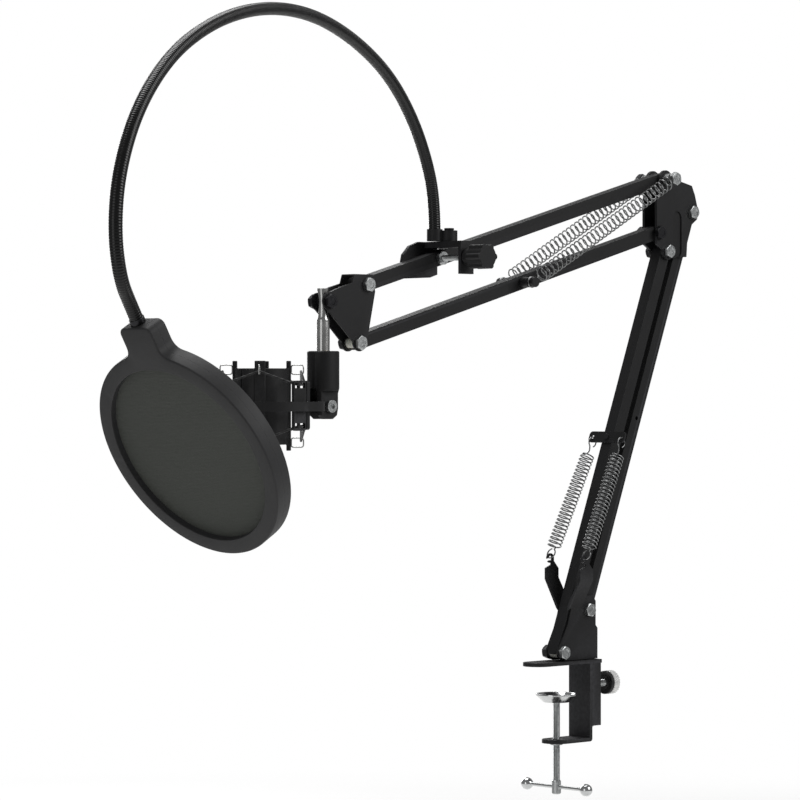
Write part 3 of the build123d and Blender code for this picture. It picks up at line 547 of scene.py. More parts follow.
grip_ribs = run_tree("grip_ribs", ribs_tree(satin_white), bpy.data.meshes.new("start"),
                     Rib_length=(grip_high - grip_low - 0.6) * MM)
grip_middle = KNOB_FRONT + (grip_low + grip_high) / 2
grip_ribs.data.transform(stand((grip_middle, 0, LOCK_Z), (1, 0, 0)) @ Matrix.Scale(1 / MM, 4))
smooth_faces(grip_ribs.data, 50)
fit(join("lock_knob_grip", [grip_ring, grip_ribs]), "lock", "chrome_plate", "lock_knob_rim")
LOCK_TIP = 39.7
lock_thread = thread("swivel_lock_screw", stand((LOCK_TIP, 0, LOCK_Z), (1, 0, 0)), 3.0, 1.0,
                     KNOB_FRONT + 8 - LOCK_TIP, zinc)
fit(lock_thread, "lock", "bright_zinc", "lock_screw")


# ---- Swivel pin, bushes and circlip ----
# A ground pin turns in two nylon bushes and is kept in by a spring-steel circlip below.
def make_turned_steel():
    """Bright drawn steel, turned: fine rings about 0.3 mm apart that stretch each highlight."""
    material, tree, shader, place = start_material("turned_steel", Metallic=1.0)
    vary(tree, shader, place, 6.0, "#a9aaa9", "#cfcfcd", 0.20, 0.32)
    ring = add_node(tree, "ShaderNodeTexWave", {
        "Vector": place, "Scale": 1 / 0.3 / 6.28, "Distortion": 0.6}, bands_direction="Z")
    emboss(tree, shader, ring.outputs["Fac"], 0.006)
    return material


def make_nylon():
    """Natural cast nylon: an off-white waxy plastic with a soft sheen."""
    material, tree, shader, place = start_material("cast_nylon", Subsurface_Weight=0.08)
    vary(tree, shader, place, 3.0, "#cfccc0", "#dedbd1", 0.38, 0.5)
    grain = add_node(tree, "ShaderNodeTexNoise", {"Vector": place, "Scale": 1 / 0.3, "Detail": 2.0})
    emboss(tree, shader, grain.outputs["Fac"], 0.008)
    return material


def make_spring_wire():
    """Zinc-plated spring wire, drawn: dark grey metal with pale lines along its lit side."""
    material, tree, shader, place = start_material("plated_spring_wire", Metallic=1.0)
    vary(tree, shader, place, 1.2, "#6f7071", "#a4a5a5", 0.22, 0.36)
    draw = add_node(tree, "ShaderNodeTexNoise", {"Vector": place, "Scale": 1 / 0.25, "Detail": 2.0})
    emboss(tree, shader, draw.outputs["Fac"], 0.006)
    return material


turned_steel = make_turned_steel()
nylon = make_nylon()
spring_wire = make_spring_wire()
dress(turned_steel, "swivel_pin")
dress(nylon, "swivel_bushes", "base_bushes", "elbow_bushes", "head_bushes")
dress(spring_wire, "pin_circlip")

# ---- Base yoke ----
# One folded steel pressing: two cheeks, a floor on the clamp and a web behind, with a horn on each
# side whose hook takes the foot of a lower spring.
ease_node("base_pressing", "base_yoke", 0.4, powder_coat, "black_powder_coat")


# ---- Hexagon bolts and nuts ----
# M6 bolts, forged with a chamfered head and a shallow dish on top. The heads on the near side are
# bright zinc, or blackened where a bolt carries the spigot or the inner bar. The nuts are blackened.
def hexagon_mesh(name, height, crown):
    """A chamfered hexagon on z = 0, carried on over its top by (radius, height) points in mm."""
    sides, half_flats = 48, 5.0
    land = 0.94 * half_flats
    ring, brow = [], []
    for side in range(sides):
        turn = 2 * math.pi * side / sides
        r = half_flats / math.cos((turn + math.pi / 6) % (math.pi / 3) - math.pi / 6)
        ring.append((r, turn, 0))
        brow.append((r, turn, height - (r - land) * math.tan(math.radians(30))))
    loops = [ring, brow]
    loops += [[(r, place[1], z) for place in ring] for r, z in [(land, height), *crown]]
    points = [(r * math.cos(t) * MM, r * math.sin(t) * MM, z * MM) for loop in loops for r, t, z in loop]
    faces = quads(len(loops), sides)
    faces.append(tuple(range(sides)))
    faces.append(tuple((len(loops) - 1) * sides + side for side in range(sides)))
    return mesh_piece(name, points, faces, zinc, 25)


def fasteners_tree(name, shape, lean, material):
    """One shape on each of some points, shifted along Y by an offset, with a round shank below it.
    Each is turned to a random angle about Y."""
    tree, entry, exit_node = geometry_tree(name, {
        "Offset": -7.3 * MM, "Shank length": 14.6 * MM, "Shank radius": 2.9 * MM, "Seed": 3})
    source = add_node(tree, "GeometryNodeObjectInfo", {"Object": shape})
    shank = add_node(tree, "GeometryNodeMeshCylinder", {
        "Vertices": 24, "Radius": entry.outputs["Shank radius"], "Depth": entry.outputs["Shank length"]})
    drop = add_node(tree, "ShaderNodeMath", {0: entry.outputs["Shank length"], 1: -0.5}, operation="MULTIPLY")
    down = add_node(tree, "ShaderNodeCombineXYZ", {"Z": drop.outputs[0]})
    sunk = add_node(tree, "GeometryNodeTransform", {
        "Geometry": shank.outputs["Mesh"], "Translation": down.outputs[0]})
    whole = add_node(tree, "GeometryNodeJoinGeometry")
    tree.links.new(source.outputs["Geometry"], whole.inputs[0])
    tree.links.new(sunk.outputs[0], whole.inputs[0])
    away = add_node(tree, "ShaderNodeCombineXYZ", {"Y": entry.outputs["Offset"]})
    seat = add_node(tree, "GeometryNodeSetPosition", {
        "Geometry": entry.outputs["Geometry"], "Offset": away.outputs[0]})
    spin = add_node(tree, "FunctionNodeRandomValue", {"Seed": entry.outputs["Seed"]})
    turn = add_node(tree, "ShaderNodeCombineXYZ", {"X": math.radians(lean), "Y": spin.outputs[1]})
    spread = add_node(tree, "GeometryNodeInstanceOnPoints", {
        "Points": seat.outputs[0], "Instance": whole.outputs[0], "Rotation": turn.outputs[0]})
    close_tree(tree, exit_node, spread.outputs[0], material)
    return tree


def node_middles(node):
    """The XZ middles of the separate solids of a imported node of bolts, in metres."""
    mesh = frame["nodes"][node].data
    build = bmesh.new()
    build.from_mesh(mesh)
    bmesh.ops.remove_doubles(build, verts=build.verts, dist=0.002 * MM)
    left, middles = set(build.verts), []
    while left:
        found, edge = set(), [next(iter(left))]
        while edge:
            vert = edge.pop()
            if vert not in found:
                found.add(vert)
                edge.extend(e.other_vert(vert) for e in vert.link_edges)
        left -= found
        xs, zs = [v.co.x for v in found], [v.co.z for v in found]
        middle = Vector(((min(xs) + max(xs)) / 2, 0, (min(zs) + max(zs)) / 2))
        if all((middle - other).length > 3 * MM for other in middles):
            middles.append(middle)
    build.free()
    return sorted(middles, key=lambda m: (round(m.x, 4), round(m.z, 4)))


def make_black_oxide():
    """Chemically blackened steel: nearly black, oily, with a weak metal sheen."""
    material, tree, shader, place = start_material("blackened_steel", Metallic=0.6)
    vary(tree, shader, place, 2.5, "#17171a", "#242427", 0.34, 0.46)
    grain = add_node(tree, "ShaderNodeTexNoise", {"Vector": place, "Scale": 1 / 0.3, "Detail": 2.0})
    emboss(tree, shader, grain.outputs["Fac"], 0.01)
    return material


HEAD_HIGH, NUT_HIGH = 3.6, 5.0
bolt_head = hexagon_mesh("bolt_head", HEAD_HIGH, [(3.0, HEAD_HIGH), (2.6, HEAD_HIGH - 0.45)])
bolt_nut = hexagon_mesh("bolt_nut", NUT_HIGH, [
    (3.3, NUT_HIGH), (2.95, NUT_HIGH - 0.35), (2.95, NUT_HIGH + 0.5), (2.45, NUT_HIGH + 0.95)])
black_oxide = make_black_oxide()
zinc_heads = fasteners_tree("zinc_heads", bolt_head, 90, zinc)
black_heads = fasteners_tree("black_heads", bolt_head, 90, black_oxide)
black_nuts = fasteners_tree("black_nuts", bolt_nut, -90, black_oxide)


def on_axes(tree, middles, offset_mm, shank_mm):
    """One tree's shapes on some axes."""
    start = bpy.data.meshes.new("start")
    start.from_pydata([tuple(m) for m in middles], [], [])
    piece = run_tree("bolt_part", tree, start, Offset=offset_mm * MM, Shank_length=shank_mm * MM)
    smooth_faces(piece.data, 25)
    return piece


def fit_bolts(name, node, grip_mm, black=()):
    """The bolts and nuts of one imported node. black lists which of its heads are blackened."""
    middles = node_middles(node)
    dark = [m for i, m in enumerate(middles) if i in black]
    bright = [m for i, m in enumerate(middles) if i not in black]
    parts = [on_axes(zinc_heads, bright, -grip_mm, 2 * grip_mm),
             on_axes(black_nuts, middles, grip_mm, 1.0)]
    if dark:
        parts.append(on_axes(black_heads, dark, -grip_mm, 2 * grip_mm))
    fit(join(name, parts), frame["nodes"][node]["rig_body"], "bright_zinc", node)


CHEEK_GRIP, ELBOW_GRIP, SPRING_GRIP = 7.3, 8.3, 17.4
fit_bolts("base_fasteners", "base_bolts", CHEEK_GRIP)
fit_bolts("elbow_fasteners", "elbow_bolts", ELBOW_GRIP, black=(0,))
fit_bolts("spring_bolt_fasteners", "spring_bolt", SPRING_GRIP)
fit_bolts("head_fasteners", "head_bolts", CHEEK_GRIP, black=(0,))
bpy.data.objects.remove(bolt_head)
bpy.data.objects.remove(bolt_nut)
dress(zinc, "spring_bolt_spacers")

# ---- Bars ----
# Four lengths of 11 mm square steel tube with round corners, powder coated, their ends radiused
# about the pivots. The lower front bar carries the plate that the lower springs pull on.
for name, node in (("lower_front_tube", "lower_front_bar"), ("lower_rear_tube", "lower_rear_bar"),
                   ("upper_top_tube", "upper_top_bar"), ("upper_bottom_tube", "upper_bottom_bar")):
    ease_node(name, node, 0.8, powder_coat, "black_powder_coat", 3)
ease_node("spring_anchor_plate", "lower_spring_plate", 0.3, powder_coat, "black_powder_coat")
ease_node("spring_anchor_pin", "upper_spring_pin", 0.6, powder_coat, "black_powder_coat")


# ---- Pull springs ----
# Two pairs of extension springs in plated wire, with open turns. One end is a full eye, the
# other a hook on a straight leg. Each coil runs between the bodies its ends sit on, fixed to neither.
def wire(name, points, radius_mm, material, closed=False, sides=1):
    """A round wire on a smooth curve led by points in metres."""
    data = bpy.data.curves.new(name, "CURVE")
    data.dimensions = "3D"
    spline = data.splines.new("NURBS")
    spline.points.add(len(points) - 1)
    for point, where in zip(spline.points, points):
        point.co = (*where, 1.0)
    spline.order_u = 3
    spline.use_cyclic_u = closed
    spline.use_endpoint_u = not closed
    spline.resolution_u = 2
    data.bevel_depth = radius_mm * MM
    data.bevel_resolution = sides
    data.use_fill_caps = not closed
    data.materials.append(material)
    return plain_mesh(put("maker", data), name)


SPRING_R, SPRING_WIRE_R, SPRING_EYE_R, TAIL_BACK = 6.3, 0.6, 4.2, 14.0
UPPER_TURNS, LOWER_TURNS = 31.25, 25.5
COIL_STEPS = 14


def spring_pieces(name, root, tail, root_across, tail_across, turns):
    """The coil with its root eye, and the tail's hook, as two wires. Places are in millimetres."""
    axis = (tail - root).normalized()
    length = (tail - root).length
    coil_r = SPRING_R - SPRING_WIRE_R
    side = root_across
    up = side.cross(axis)
    start, stop = SPRING_EYE_R + 1.2, length - TAIL_BACK
    line = []
    for step in range(0, 19):
        turn = math.radians(12 + 330 * step / 18)
        line.append(root + SPRING_EYE_R * (axis * math.cos(turn) + up * math.sin(turn)))
    for step in range(round(turns * COIL_STEPS) + 1):
        share = step / (turns * COIL_STEPS)
        turn = 2 * math.pi * step / COIL_STEPS - math.pi / 2
        along = start + (stop - start) * share
        grown = coil_r * min(1.0, 0.55 + step / COIL_STEPS)
        line.append(root + axis * along + grown * (up * math.sin(turn) + side * math.cos(turn)))
    coil = wire(f"{name}_coil", [p * MM for p in line], SPRING_WIRE_R, spring_wire)

    last = 2 * math.pi * turns - math.pi / 2
    hook = []
    for step in range(0, COIL_STEPS + 1):
        turn = last + 2 * math.pi * step / COIL_STEPS
        inward = coil_r * (1 - 0.45 * max(0, step / COIL_STEPS - 0.4))
        along = stop + 2.0 * step / COIL_STEPS
        hook.append(root + axis * along + inward * (up * math.sin(turn) + side * math.cos(turn)))
    lift = tail_across.cross(axis)
    hook.append(tail - axis * (SPRING_EYE_R + 5.5))
    hook.append(tail - axis * (SPRING_EYE_R + 3.0))
    for step in range(0, 19):
        turn = math.radians(200 + 300 * step / 18)
        hook.append(tail + SPRING_EYE_R * (axis * math.cos(turn) + lift * math.sin(turn)))
    return coil, wire(f"{name}_hook", [p * MM for p in hook], SPRING_WIRE_R, spring_wire)


ACROSS = Vector((0, 1, 0))
elbow_top = node_middles("spring_bolt")[0] / MM
PIN_LOW, PIN_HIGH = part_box("upper_spring_pin")
pull_pin = Vector(((PIN_LOW.x + PIN_HIGH.x) / 2, 0, (PIN_LOW.z + PIN_HIGH.z) / 2)) / MM
UPPER_SPRING_Y = 16.2
LOWER_FOOT, LOWER_FOOT_Y = (12.6, 86.0), 20.1
LOWER_TOP, LOWER_TOP_Y = (62.0, 184.9), 16.2
lower_hooks, upper_hooks = [], []
for side, label in ((-1, "near"), (1, "far")):
    root = elbow_top + ACROSS * side * UPPER_SPRING_Y
    tail = pull_pin + ACROSS * side * UPPER_SPRING_Y
    coil, hook = spring_pieces(f"upper_{label}", root, tail, ACROSS, ACROSS, UPPER_TURNS)
    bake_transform(coil)
    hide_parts(f"upper_spring_{label}")
    upper_hooks.append(hook)

    foot = Vector((LOWER_FOOT[0], side * LOWER_FOOT_Y, LOWER_FOOT[1]))
    top = Vector((LOWER_TOP[0], side * LOWER_TOP_Y, LOWER_TOP[1]))
    pull = (top - foot).normalized()
    root, tail = foot + pull * SPRING_EYE_R, top - pull * SPRING_EYE_R
    coil, hook = spring_pieces(f"lower_{label}", root, tail, pull.cross(ACROSS), ACROSS, LOWER_TURNS)
    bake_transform(coil)
    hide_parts(f"lower_spring_{label}")
    lower_hooks.append(hook)
fit(join("upper_spring_hooks", upper_hooks), "upper_tails", "spring_steel", "upper_spring_tails")
fit(join("lower_spring_hooks", lower_hooks), "lower_tails", "spring_steel", "lower_spring_tails")

# ---- Elbow ----
# Two stamped cheeks, each with a long pressed groove, join the lower and upper arms.
for label in ("near", "far"):
    ease_node(f"elbow_cheek_{label}", f"elbow_plate_{label}", 0.5, powder_coat, "black_powder_coat")

# ---- Head yoke, spigot and swivel body ----
# A folded yoke holds the turned steel spigot. A moulded body with a brass thread insert screws onto
# it and carries the shock mount on a cap screw.
ease_node("head_pressing", "head_yoke", 0.4, powder_coat, "black_powder_coat")
ease_node("spigot_turning", "mic_spigot", 0.35, turned_steel, "bright_steel")
ease_node("swivel_moulding", "swivel_body", 0.6, black_plastic, "black_plastic", 3)
ease_node("mount_cap_screw", "mount_bolt", 0.35, zinc, "bright_zinc")


def make_brass():
    """Free-turning brass, machined: warm yellow metal with a fine turned grain."""
    material, tree, shader, place = start_material("turned_brass", Metallic=1.0)
    vary(tree, shader, place, 3.0, "#b08d4a", "#cfae67", 0.22, 0.34)
    grain = add_node(tree, "ShaderNodeTexNoise", {"Vector": place, "Scale": 1 / 0.3, "Detail": 2.0})
    emboss(tree, shader, grain.outputs["Fac"], 0.008)
    return material


dress(make_brass(), "thread_insert")

# ---- Shock mount ----
# A moulded ring with a lug, four steel brackets riveted inside it, and a split sleeve for the
# microphone. Eight wire hooks on the sleeve's tabs hang in one elastic cord laced to the brackets.
ease_node("shock_ring_moulding", "shock_ring", 0.7, black_plastic, "black_plastic", 3)
ease_node("cord_bracket_set", "cord_brackets", 0.3, powder_coat, "black_powder_coat")
ease_node("cradle_sleeve", "mic_cradle", 0.5, black_plastic, "black_plastic")

RING_X, RING_Z = -320.0, 212.3
HOOK_WIRE_R = 0.55
HOOK_IN, HOOK_OUT, HOOK_HALF = 22.3, 31.5, 2.7
hooks = []
for level, end in ((240.0, 1), (185.0, -1)):
    for corner in range(45, 360, 90):
        turn = math.radians(corner)
        out = Vector((math.cos(turn), math.sin(turn), 0))
        middle = Vector((RING_X, 0, level))
        loop = []
        round_r = 1.6
        for cx, cz, first in ((HOOK_OUT, 1, 0), (HOOK_IN, 1, 90), (HOOK_IN, -1, 180), (HOOK_OUT, -1, 270)):
            inset = -round_r if cx == HOOK_OUT else round_r
            for step in range(4):
                bend = math.radians(first + 30 * step)
                loop.append((middle + out * (cx + inset + round_r * math.cos(bend))
                             + Vector((0, 0, cz * (HOOK_HALF + 0.8 - round_r) + round_r * math.sin(bend)))) * MM)
        hooks.append(wire("hook", loop, HOOK_WIRE_R, turned_steel, closed=True))
fit(join("cord_hooks", hooks), "cradle", "bright_steel", "cradle_hooks")


def make_elastic():
    """Braided elastic cord: black polyester plaited over rubber, drawn with plaits 1.2 mm apart so
    that they show, and a soft sheen along each strand."""
    material, tree, shader, place = start_material(
        "braided_elastic", Roughness=0.62, Sheen_Weight=0.35, Sheen_Roughness=0.4)
    plait = add_node(tree, "ShaderNodeTexWave", {
        "Vector": place, "Scale": 1 / 1.2 / 3.14, "Distortion": 1.0}, bands_direction="DIAGONAL")
    colour = add_node(tree, "ShaderNodeMix", {
        "Factor": plait.outputs["Fac"], 6: linear("#121213"), 7: linear("#262627")}, data_type="RGBA")
    tree.links.new(colour.outputs[2], shader.inputs["Base Color"])
    emboss(tree, shader, plait.outputs["Fac"], 0.12)
    return material


elastic = make_elastic()
CORD_R, CORD_OUT, CORD_EYE = 0.95, 41.9, 29.6
SLOT_RISE, SLOT_MIDDLE, SLOT_HALF = 15.0, 213.05, 2.4
for level, end, label in ((240.0, 1, "top"), (185.0, -1, "low")):
    for bracket in range(0, 360, 90):
        turn = math.radians(bracket)
        out, across = Vector((math.cos(turn), math.sin(turn), 0)), Vector((-math.sin(turn), math.cos(turn), 0))
        middle = Vector((RING_X, 0, 0))
        line = []
        for side in (-1, 1):
            corner = math.radians(bracket + side * 45)
            eye = middle + Vector((CORD_EYE * math.cos(corner), CORD_EYE * math.sin(corner), level - end * 1.2))
            slot = middle + out * CORD_OUT + across * side * SLOT_HALF
            slot.z = SLOT_MIDDLE + end * (SLOT_RISE + 0.6)
            leg = [eye, eye.lerp(slot, 0.33), eye.lerp(slot, 0.72), slot, slot + out * 1.9 - across * side * 0.4]
            line += leg if side < 0 else leg[::-1]
        strand = wire(f"elastic_{label}_{bracket}", [p * MM for p in line], CORD_R, elastic)
        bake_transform(strand)
        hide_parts("elastic_cord")

# ---- Filter clamp ----
# A small cast clamp hooks over the upper bar. Its screw has a six-lobed knob and drives a pressure
# foot, and a short post on top carries the gooseneck's socket.
ease_node("filter_clamp_casting", "filter_clamp_frame", 0.8, powder_coat, "black_powder_coat", 3)
ease_node("filter_knob_moulding", "filter_clamp_knob", 1.0, black_plastic, "black_plastic", 3)
FOOT_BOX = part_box("pressure_foot")
screw_x, screw_z = ((FOOT_BOX[0][i] + FOOT_BOX[1][i]) / 2 / MM for i in (0, 2))
SCREW_NEAR, SCREW_FAR = -50.0, -9.1
filter_screw = thread("filter_clamp_thread", stand((screw_x, SCREW_NEAR, screw_z), (0, 1, 0)), 2.4, 0.8,
                      SCREW_FAR - SCREW_NEAR, zinc)
filter_tip = turned("tip", [(0, 0), (1.55, 0), (1.55, 1.6), (1.2, 1.9), (0, 1.9)], zinc,
                    stand((screw_x, SCREW_FAR - 0.2, screw_z), (0, 1, 0)), 24)
fit(join("filter_clamp_spindle", [filter_screw, filter_tip]), "filter_screw", "bright_zinc",
    "filter_clamp_screw")
dress(zinc, "pressure_foot")
ease_node("neck_post_turning", "neck_post", 0.4, powder_coat, "black_powder_coat")
ease_node("neck_socket_turning", "neck_socket", 0.6, powder_coat, "black_powder_coat", 3)


# ---- Gooseneck ----
# A bendable neck: two steel wires wound tight into one ribbed tube, in gloss black lacquer. It
# leaves the socket upright, arches over and comes down into the filter's neck. Its ferrule is in black nickel.
def make_black_nickel():
    """Black nickel plate on the turned ferrule: a dark mirror whose fine grain breaks each highlight up."""
    material, tree, shader, place = start_material("black_nickel_plate", Metallic=1.0)
    vary(tree, shader, place, 14.0, "#2c2c2e", "#454547", 0.20, 0.32)
    grain = add_node(tree, "ShaderNodeTexNoise", {"Vector": place, "Scale": 1 / 0.5, "Detail": 2.0})
    emboss(tree, shader, grain.outputs["Fac"], 0.02)
    return material


def make_gloss_black():
    """Gloss black lacquer over the wound wire: black in the middle, pale where it turns away."""
    material, tree, shader, place = start_material(
        "gloss_black_lacquer", Specular_IOR_Level=0.4, Sheen_Weight=0.7, Sheen_Roughness=0.25)
    vary(tree, shader, place, 14.0, "#060607", "#0d0d0e", 0.18, 0.28)
    grain = add_node(tree, "ShaderNodeTexNoise", {"Vector": place, "Scale": 1 / 0.6, "Detail": 2.0})
    emboss(tree, shader, grain.outputs["Fac"], 0.015)
    return material


def neck_tree(material):
    """A tube along a curve whose radius swells once for each wound wire."""
    tree, entry, exit_node = geometry_tree("wound_neck", {
        "Pitch": 1.9 * MM, "Tube radius": 4.75 * MM, "Rib depth": 0.045})
    steps = 6
    spacing = add_node(tree, "ShaderNodeMath", {0: entry.outputs["Pitch"], 1: float(steps)}, operation="DIVIDE")
    even = add_node(tree, "GeometryNodeResampleCurve", {
        "Curve": entry.outputs["Geometry"], "Length": spacing.outputs[0]}, mode="LENGTH")
    index = add_node(tree, "GeometryNodeInputIndex")
    phase = add_node(tree, "ShaderNodeMath", {0: index.outputs[0], 1: math.pi / steps}, operation="MULTIPLY")
    swell = add_node(tree, "ShaderNodeMath", {0: phase.outputs[0]}, operation="SINE")
    swell = add_node(tree, "ShaderNodeMath", {0: swell.outputs[0]}, operation="ABSOLUTE")
    dip = add_node(tree, "ShaderNodeMath", {0: 1.0, 1: entry.outputs["Rib depth"]}, operation="SUBTRACT")
    share = add_node(tree, "ShaderNodeMath", {
        0: swell.outputs[0], 1: entry.outputs["Rib depth"], 2: dip.outputs[0]}, operation="MULTIPLY_ADD")
    swollen = add_node(tree, "GeometryNodeSetCurveRadius", {
        "Curve": even.outputs[0], "Radius": share.outputs[0]})
    ring = add_node(tree, "GeometryNodeCurvePrimitiveCircle", {
        "Resolution": 18, "Radius": entry.outputs["Tube radius"]})
    tube = add_node(tree, "GeometryNodeCurveToMesh", {
        "Curve": swollen.outputs[0], "Profile Curve": ring.outputs[0], "Fill Caps": True})
    if "Scale" in tube.inputs:
        tree.links.new(share.outputs[0], tube.inputs["Scale"])
    close_tree(tree, exit_node, tube.outputs[0], material)
    return tree


NECK_START = Vector((-145.2, -6.8, 0))
NECK_ROUTE = [
    (0, 345), (0, 372), (14, 403), (44, 437), (88, 466), (146, 486), (210, 497.5), (270, 498.5),
    (330, 491), (390, 474), (444, 448), (487, 411), (512, 369), (518.5, 330), (511, 298),
]
FILTER_MID = Vector((-543.4, -186.4, 184.5))
filter_normal = Vector((-0.862, -0.035, -0.506)).normalized()
filter_across = Vector((0.04, -0.999, 0.0))
filter_across = (filter_across - filter_normal * filter_across.dot(filter_normal)).normalized()
filter_up = filter_normal.cross(filter_across)
NECK_SEAT = 90.0
neck_end = FILTER_MID + filter_up * NECK_SEAT
heading = Vector((neck_end.x - NECK_START.x, neck_end.y - NECK_START.y, 0)).normalized()
route = [NECK_START + heading * out + Vector((0, 0, height)) for out, height in NECK_ROUTE]
route += [FILTER_MID + filter_up * (NECK_SEAT + 22.0), neck_end]
neck_line = bpy.data.curves.new("neck_line", "CURVE")
neck_line.dimensions = "3D"
neck_spline = neck_line.splines.new("NURBS")
neck_spline.points.add(len(route) - 1)
for point, where in zip(neck_spline.points, route):
    point.co = (*(where * MM), 1.0)
neck_spline.order_u = 3
neck_spline.use_endpoint_u = True
neck_spline.resolution_u = 24
neck = run_tree("gooseneck", neck_tree(make_gloss_black()), neck_line)
smooth_faces(neck.data, 70)
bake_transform(neck)
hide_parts("gooseneck_lower", "gooseneck_middle", "gooseneck_upper")
black_nickel = make_black_nickel()
ease_node("filter_ferrule_turning", "filter_ferrule", 0.5, black_nickel, "black_nickel", 3)


# ---- Pop filter ----
# Two moulded rims clamp two stretched nylon screens. Each half is a rounded hoop with a neck boss,
# and the halves meet in a fine parting line.
def make_filter_plastic():
    """Moulded charcoal ABS, matt, with an even spark-eroded texture of about 0.6 mm."""
    return make_moulded_plastic("moulded_charcoal_abs", "#2f2f30", "#343435", 0.50, 0.60)


def make_screen():
    """Woven nylon mesh, stretched: dark grey-green threads, drawn 1.1 mm apart so that they show,
    with a weak sheen over the dark gaps."""
    material, tree, shader, place = start_material(
        "woven_nylon_screen", Roughness=0.8, Sheen_Weight=0.25, Sheen_Roughness=0.5)
    surface = add_node(tree, "ShaderNodeUVMap", uv_map="threads")
    scaled = add_node(tree, "ShaderNodeVectorMath", {0: surface.outputs[0], "Scale": 1.0}, operation="SCALE")
    heights = []
    for direction in ("X", "Y"):
        band = add_node(tree, "ShaderNodeTexWave", {
            "Vector": scaled.outputs[0], "Scale": 1 / 1.1 * 2 * math.pi / 20.0}, bands_direction=direction)
        heights.append(band.outputs["Fac"])
    weave = add_node(tree, "ShaderNodeMath", {0: heights[0], 1: heights[1]}, operation="MAXIMUM")
    blotch = add_node(tree, "ShaderNodeTexNoise", {"Vector": place, "Scale": 1 / 26.0, "Detail": 3.0})
    low = add_node(tree, "ShaderNodeMix", {
        "Factor": blotch.outputs["Fac"], 6: linear("#1d201c"), 7: linear("#232621")}, data_type="RGBA")
    colour = add_node(tree, "ShaderNodeMix", {
        "Factor": weave.outputs[0], 6: low.outputs[2], 7: linear("#333730")}, data_type="RGBA")
    tree.links.new(colour.outputs[2], shader.inputs["Base Color"])
    emboss(tree, shader, weave.outputs[0], 0.12)
    return material


FILTER_R, FILTER_IN, FILTER_HALF = 77.5, 66.5, 7.5
TAB_LEFT, TAB_RIGHT, TAB_TOP, TAB_CORNER, TAB_FILLET = -13.5, 17.0, 98.0, 5.0, 9.0
RIM_ROUND, LIP_ROUND = 1.2, 0.5


def arc(centre, radius, first, last, steps):
    """Points of an arc between two angles in degrees, both ends included."""
    turns = [math.radians(first + (last - first) * step / steps) for step in range(steps + 1)]
    return [(centre[0] + radius * math.cos(t), centre[1] + radius * math.sin(t)) for t in turns]


def rim_outline():
    """The hoop's outer edge with its neck boss, anticlockwise: arcs for hoop, fillets and corners."""
    right_y = math.sqrt((FILTER_R + TAB_FILLET) ** 2 - (TAB_RIGHT + TAB_FILLET) ** 2)
    left_y = math.sqrt((FILTER_R + TAB_FILLET) ** 2 - (TAB_LEFT - TAB_FILLET) ** 2)
    right = math.degrees(math.atan2(right_y, TAB_RIGHT + TAB_FILLET))
    left = math.degrees(math.atan2(left_y, TAB_LEFT - TAB_FILLET))
    points = arc((TAB_RIGHT + TAB_FILLET, right_y), TAB_FILLET, 180 + right, 180, 6)
    points += arc((TAB_RIGHT - TAB_CORNER, TAB_TOP - TAB_CORNER), TAB_CORNER, 0, 90, 6)
    points += arc((TAB_LEFT + TAB_CORNER, TAB_TOP - TAB_CORNER), TAB_CORNER, 90, 180, 6)
    points += arc((TAB_LEFT - TAB_FILLET, left_y), TAB_FILLET, 0, left - 180, 6)
    points += arc((0, 0), FILTER_R, left, 360 + right, 150)[1:-1]
    return points


def filter_point(x, y, z):
    """A place in the filter's own millimetres as a point of the part in metres."""
    return (FILTER_MID + filter_across * x + filter_up * y + filter_normal * z) * MM


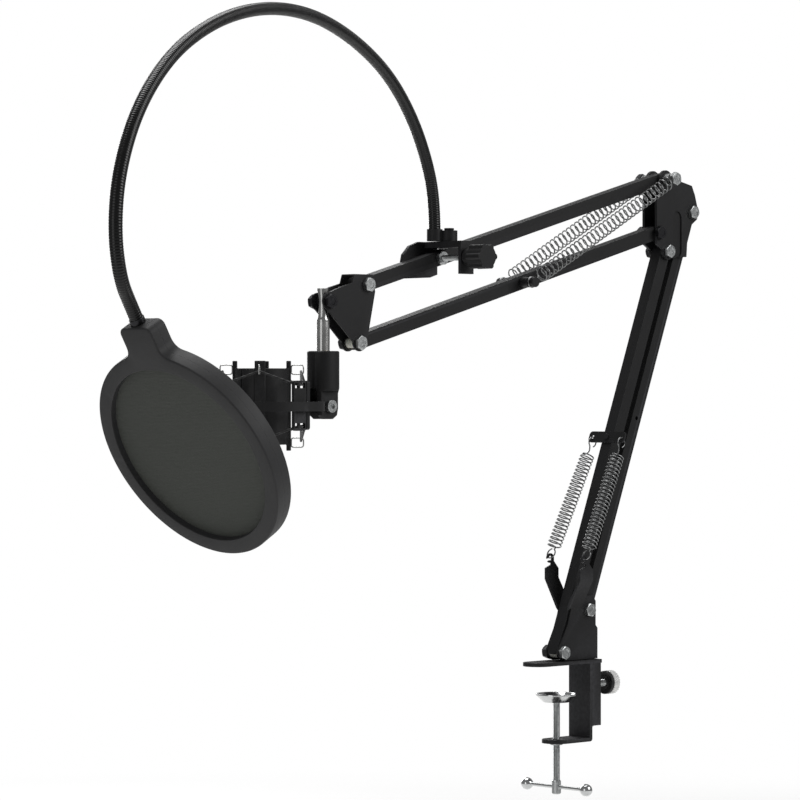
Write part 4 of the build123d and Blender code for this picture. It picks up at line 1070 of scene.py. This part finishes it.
def filter_half(name, sign, material):
    """One half of the rim, on the +1 or the -1 side of the parting line."""
    outer = [Vector(p) for p in rim_outline()]
    count = len(outer)
    inward = []
    for here in range(count):
        run = (outer[(here + 1) % count] - outer[here - 1]).normalized()
        inward.append(Vector((-run.y, run.x)))
    loops = [[(*p, 0.05) for p in outer]]
    loops.append([(*(p), 0.35) for p in outer])
    for step in range(6):
        turn = math.radians(90 * step / 5)
        inset, z = RIM_ROUND * (1 - math.cos(turn)), FILTER_HALF - RIM_ROUND * (1 - math.sin(turn))
        loops.append([(*(p + n * inset), z) for p, n in zip(outer, inward)])
    for step in range(5):
        turn = math.radians(90 * step / 4)
        r, z = FILTER_IN + LIP_ROUND * (1 - math.sin(turn)), FILTER_HALF - LIP_ROUND * (1 - math.cos(turn))
        loops.append([(p.normalized().x * r, p.normalized().y * r, z) for p in outer])
    loops.append([(p.normalized().x * FILTER_IN, p.normalized().y * FILTER_IN, 0.05) for p in outer])
    points = [filter_point(x, y, sign * z) for loop in loops for x, y, z in loop]
    return mesh_piece(name, points, quads(len(loops), count, close_rows=True), material, 40)


def screen(name, z, material):
    """A stretched mesh disc, 0.5 mm thick and very slightly dished, with a map in millimetres."""
    rings, sides, thick = 12, 96, 0.5
    edge = FILTER_IN + 3.0
    points, faces = [], []
    for face in (0, 1):
        for ring in range(1, rings + 1):
            r = edge * ring / rings
            dish = 0.7 * (1 - (r / edge) ** 2)
            level = z - math.copysign(dish, z) + math.copysign(thick * face, z)
            for side in range(sides):
                turn = 2 * math.pi * side / sides
                points.append(filter_point(r * math.cos(turn), r * math.sin(turn), level))
    per_face = rings * sides
    for face in (0, 1):
        first = face * per_face
        faces += [tuple(first + i for i in quad) for quad in quads(rings, sides)]
        faces.append(tuple(range(first, first + sides)))
    for side in range(sides):
        beside = (side + 1) % sides
        last = per_face - sides
        faces.append((last + side, last + beside, per_face + last + beside, per_face + last + side))
    piece = mesh_piece(name, points, faces, material, 40)
    layer = piece.data.uv_layers.new(name="threads")
    for loop in piece.data.loops:
        away = piece.data.vertices[loop.vertex_index].co / MM - FILTER_MID
        layer.data[loop.index].uv = (away.dot(filter_across), away.dot(filter_up))
    return piece


charcoal = make_filter_plastic()
nylon_screen = make_screen()
for sign, label, level in ((1, "front", 2.3), (-1, "back", -2.3)):
    fit(filter_half(f"filter_hoop_{label}", sign, charcoal), "neck_upper", "black_plastic",
        f"filter_rim_{label}")
    fit(screen(f"filter_screen_{label}", level, nylon_screen), "neck_upper", "screen_mesh",
        f"filter_mesh_{label}")
dress(charcoal, "mesh_spacer")
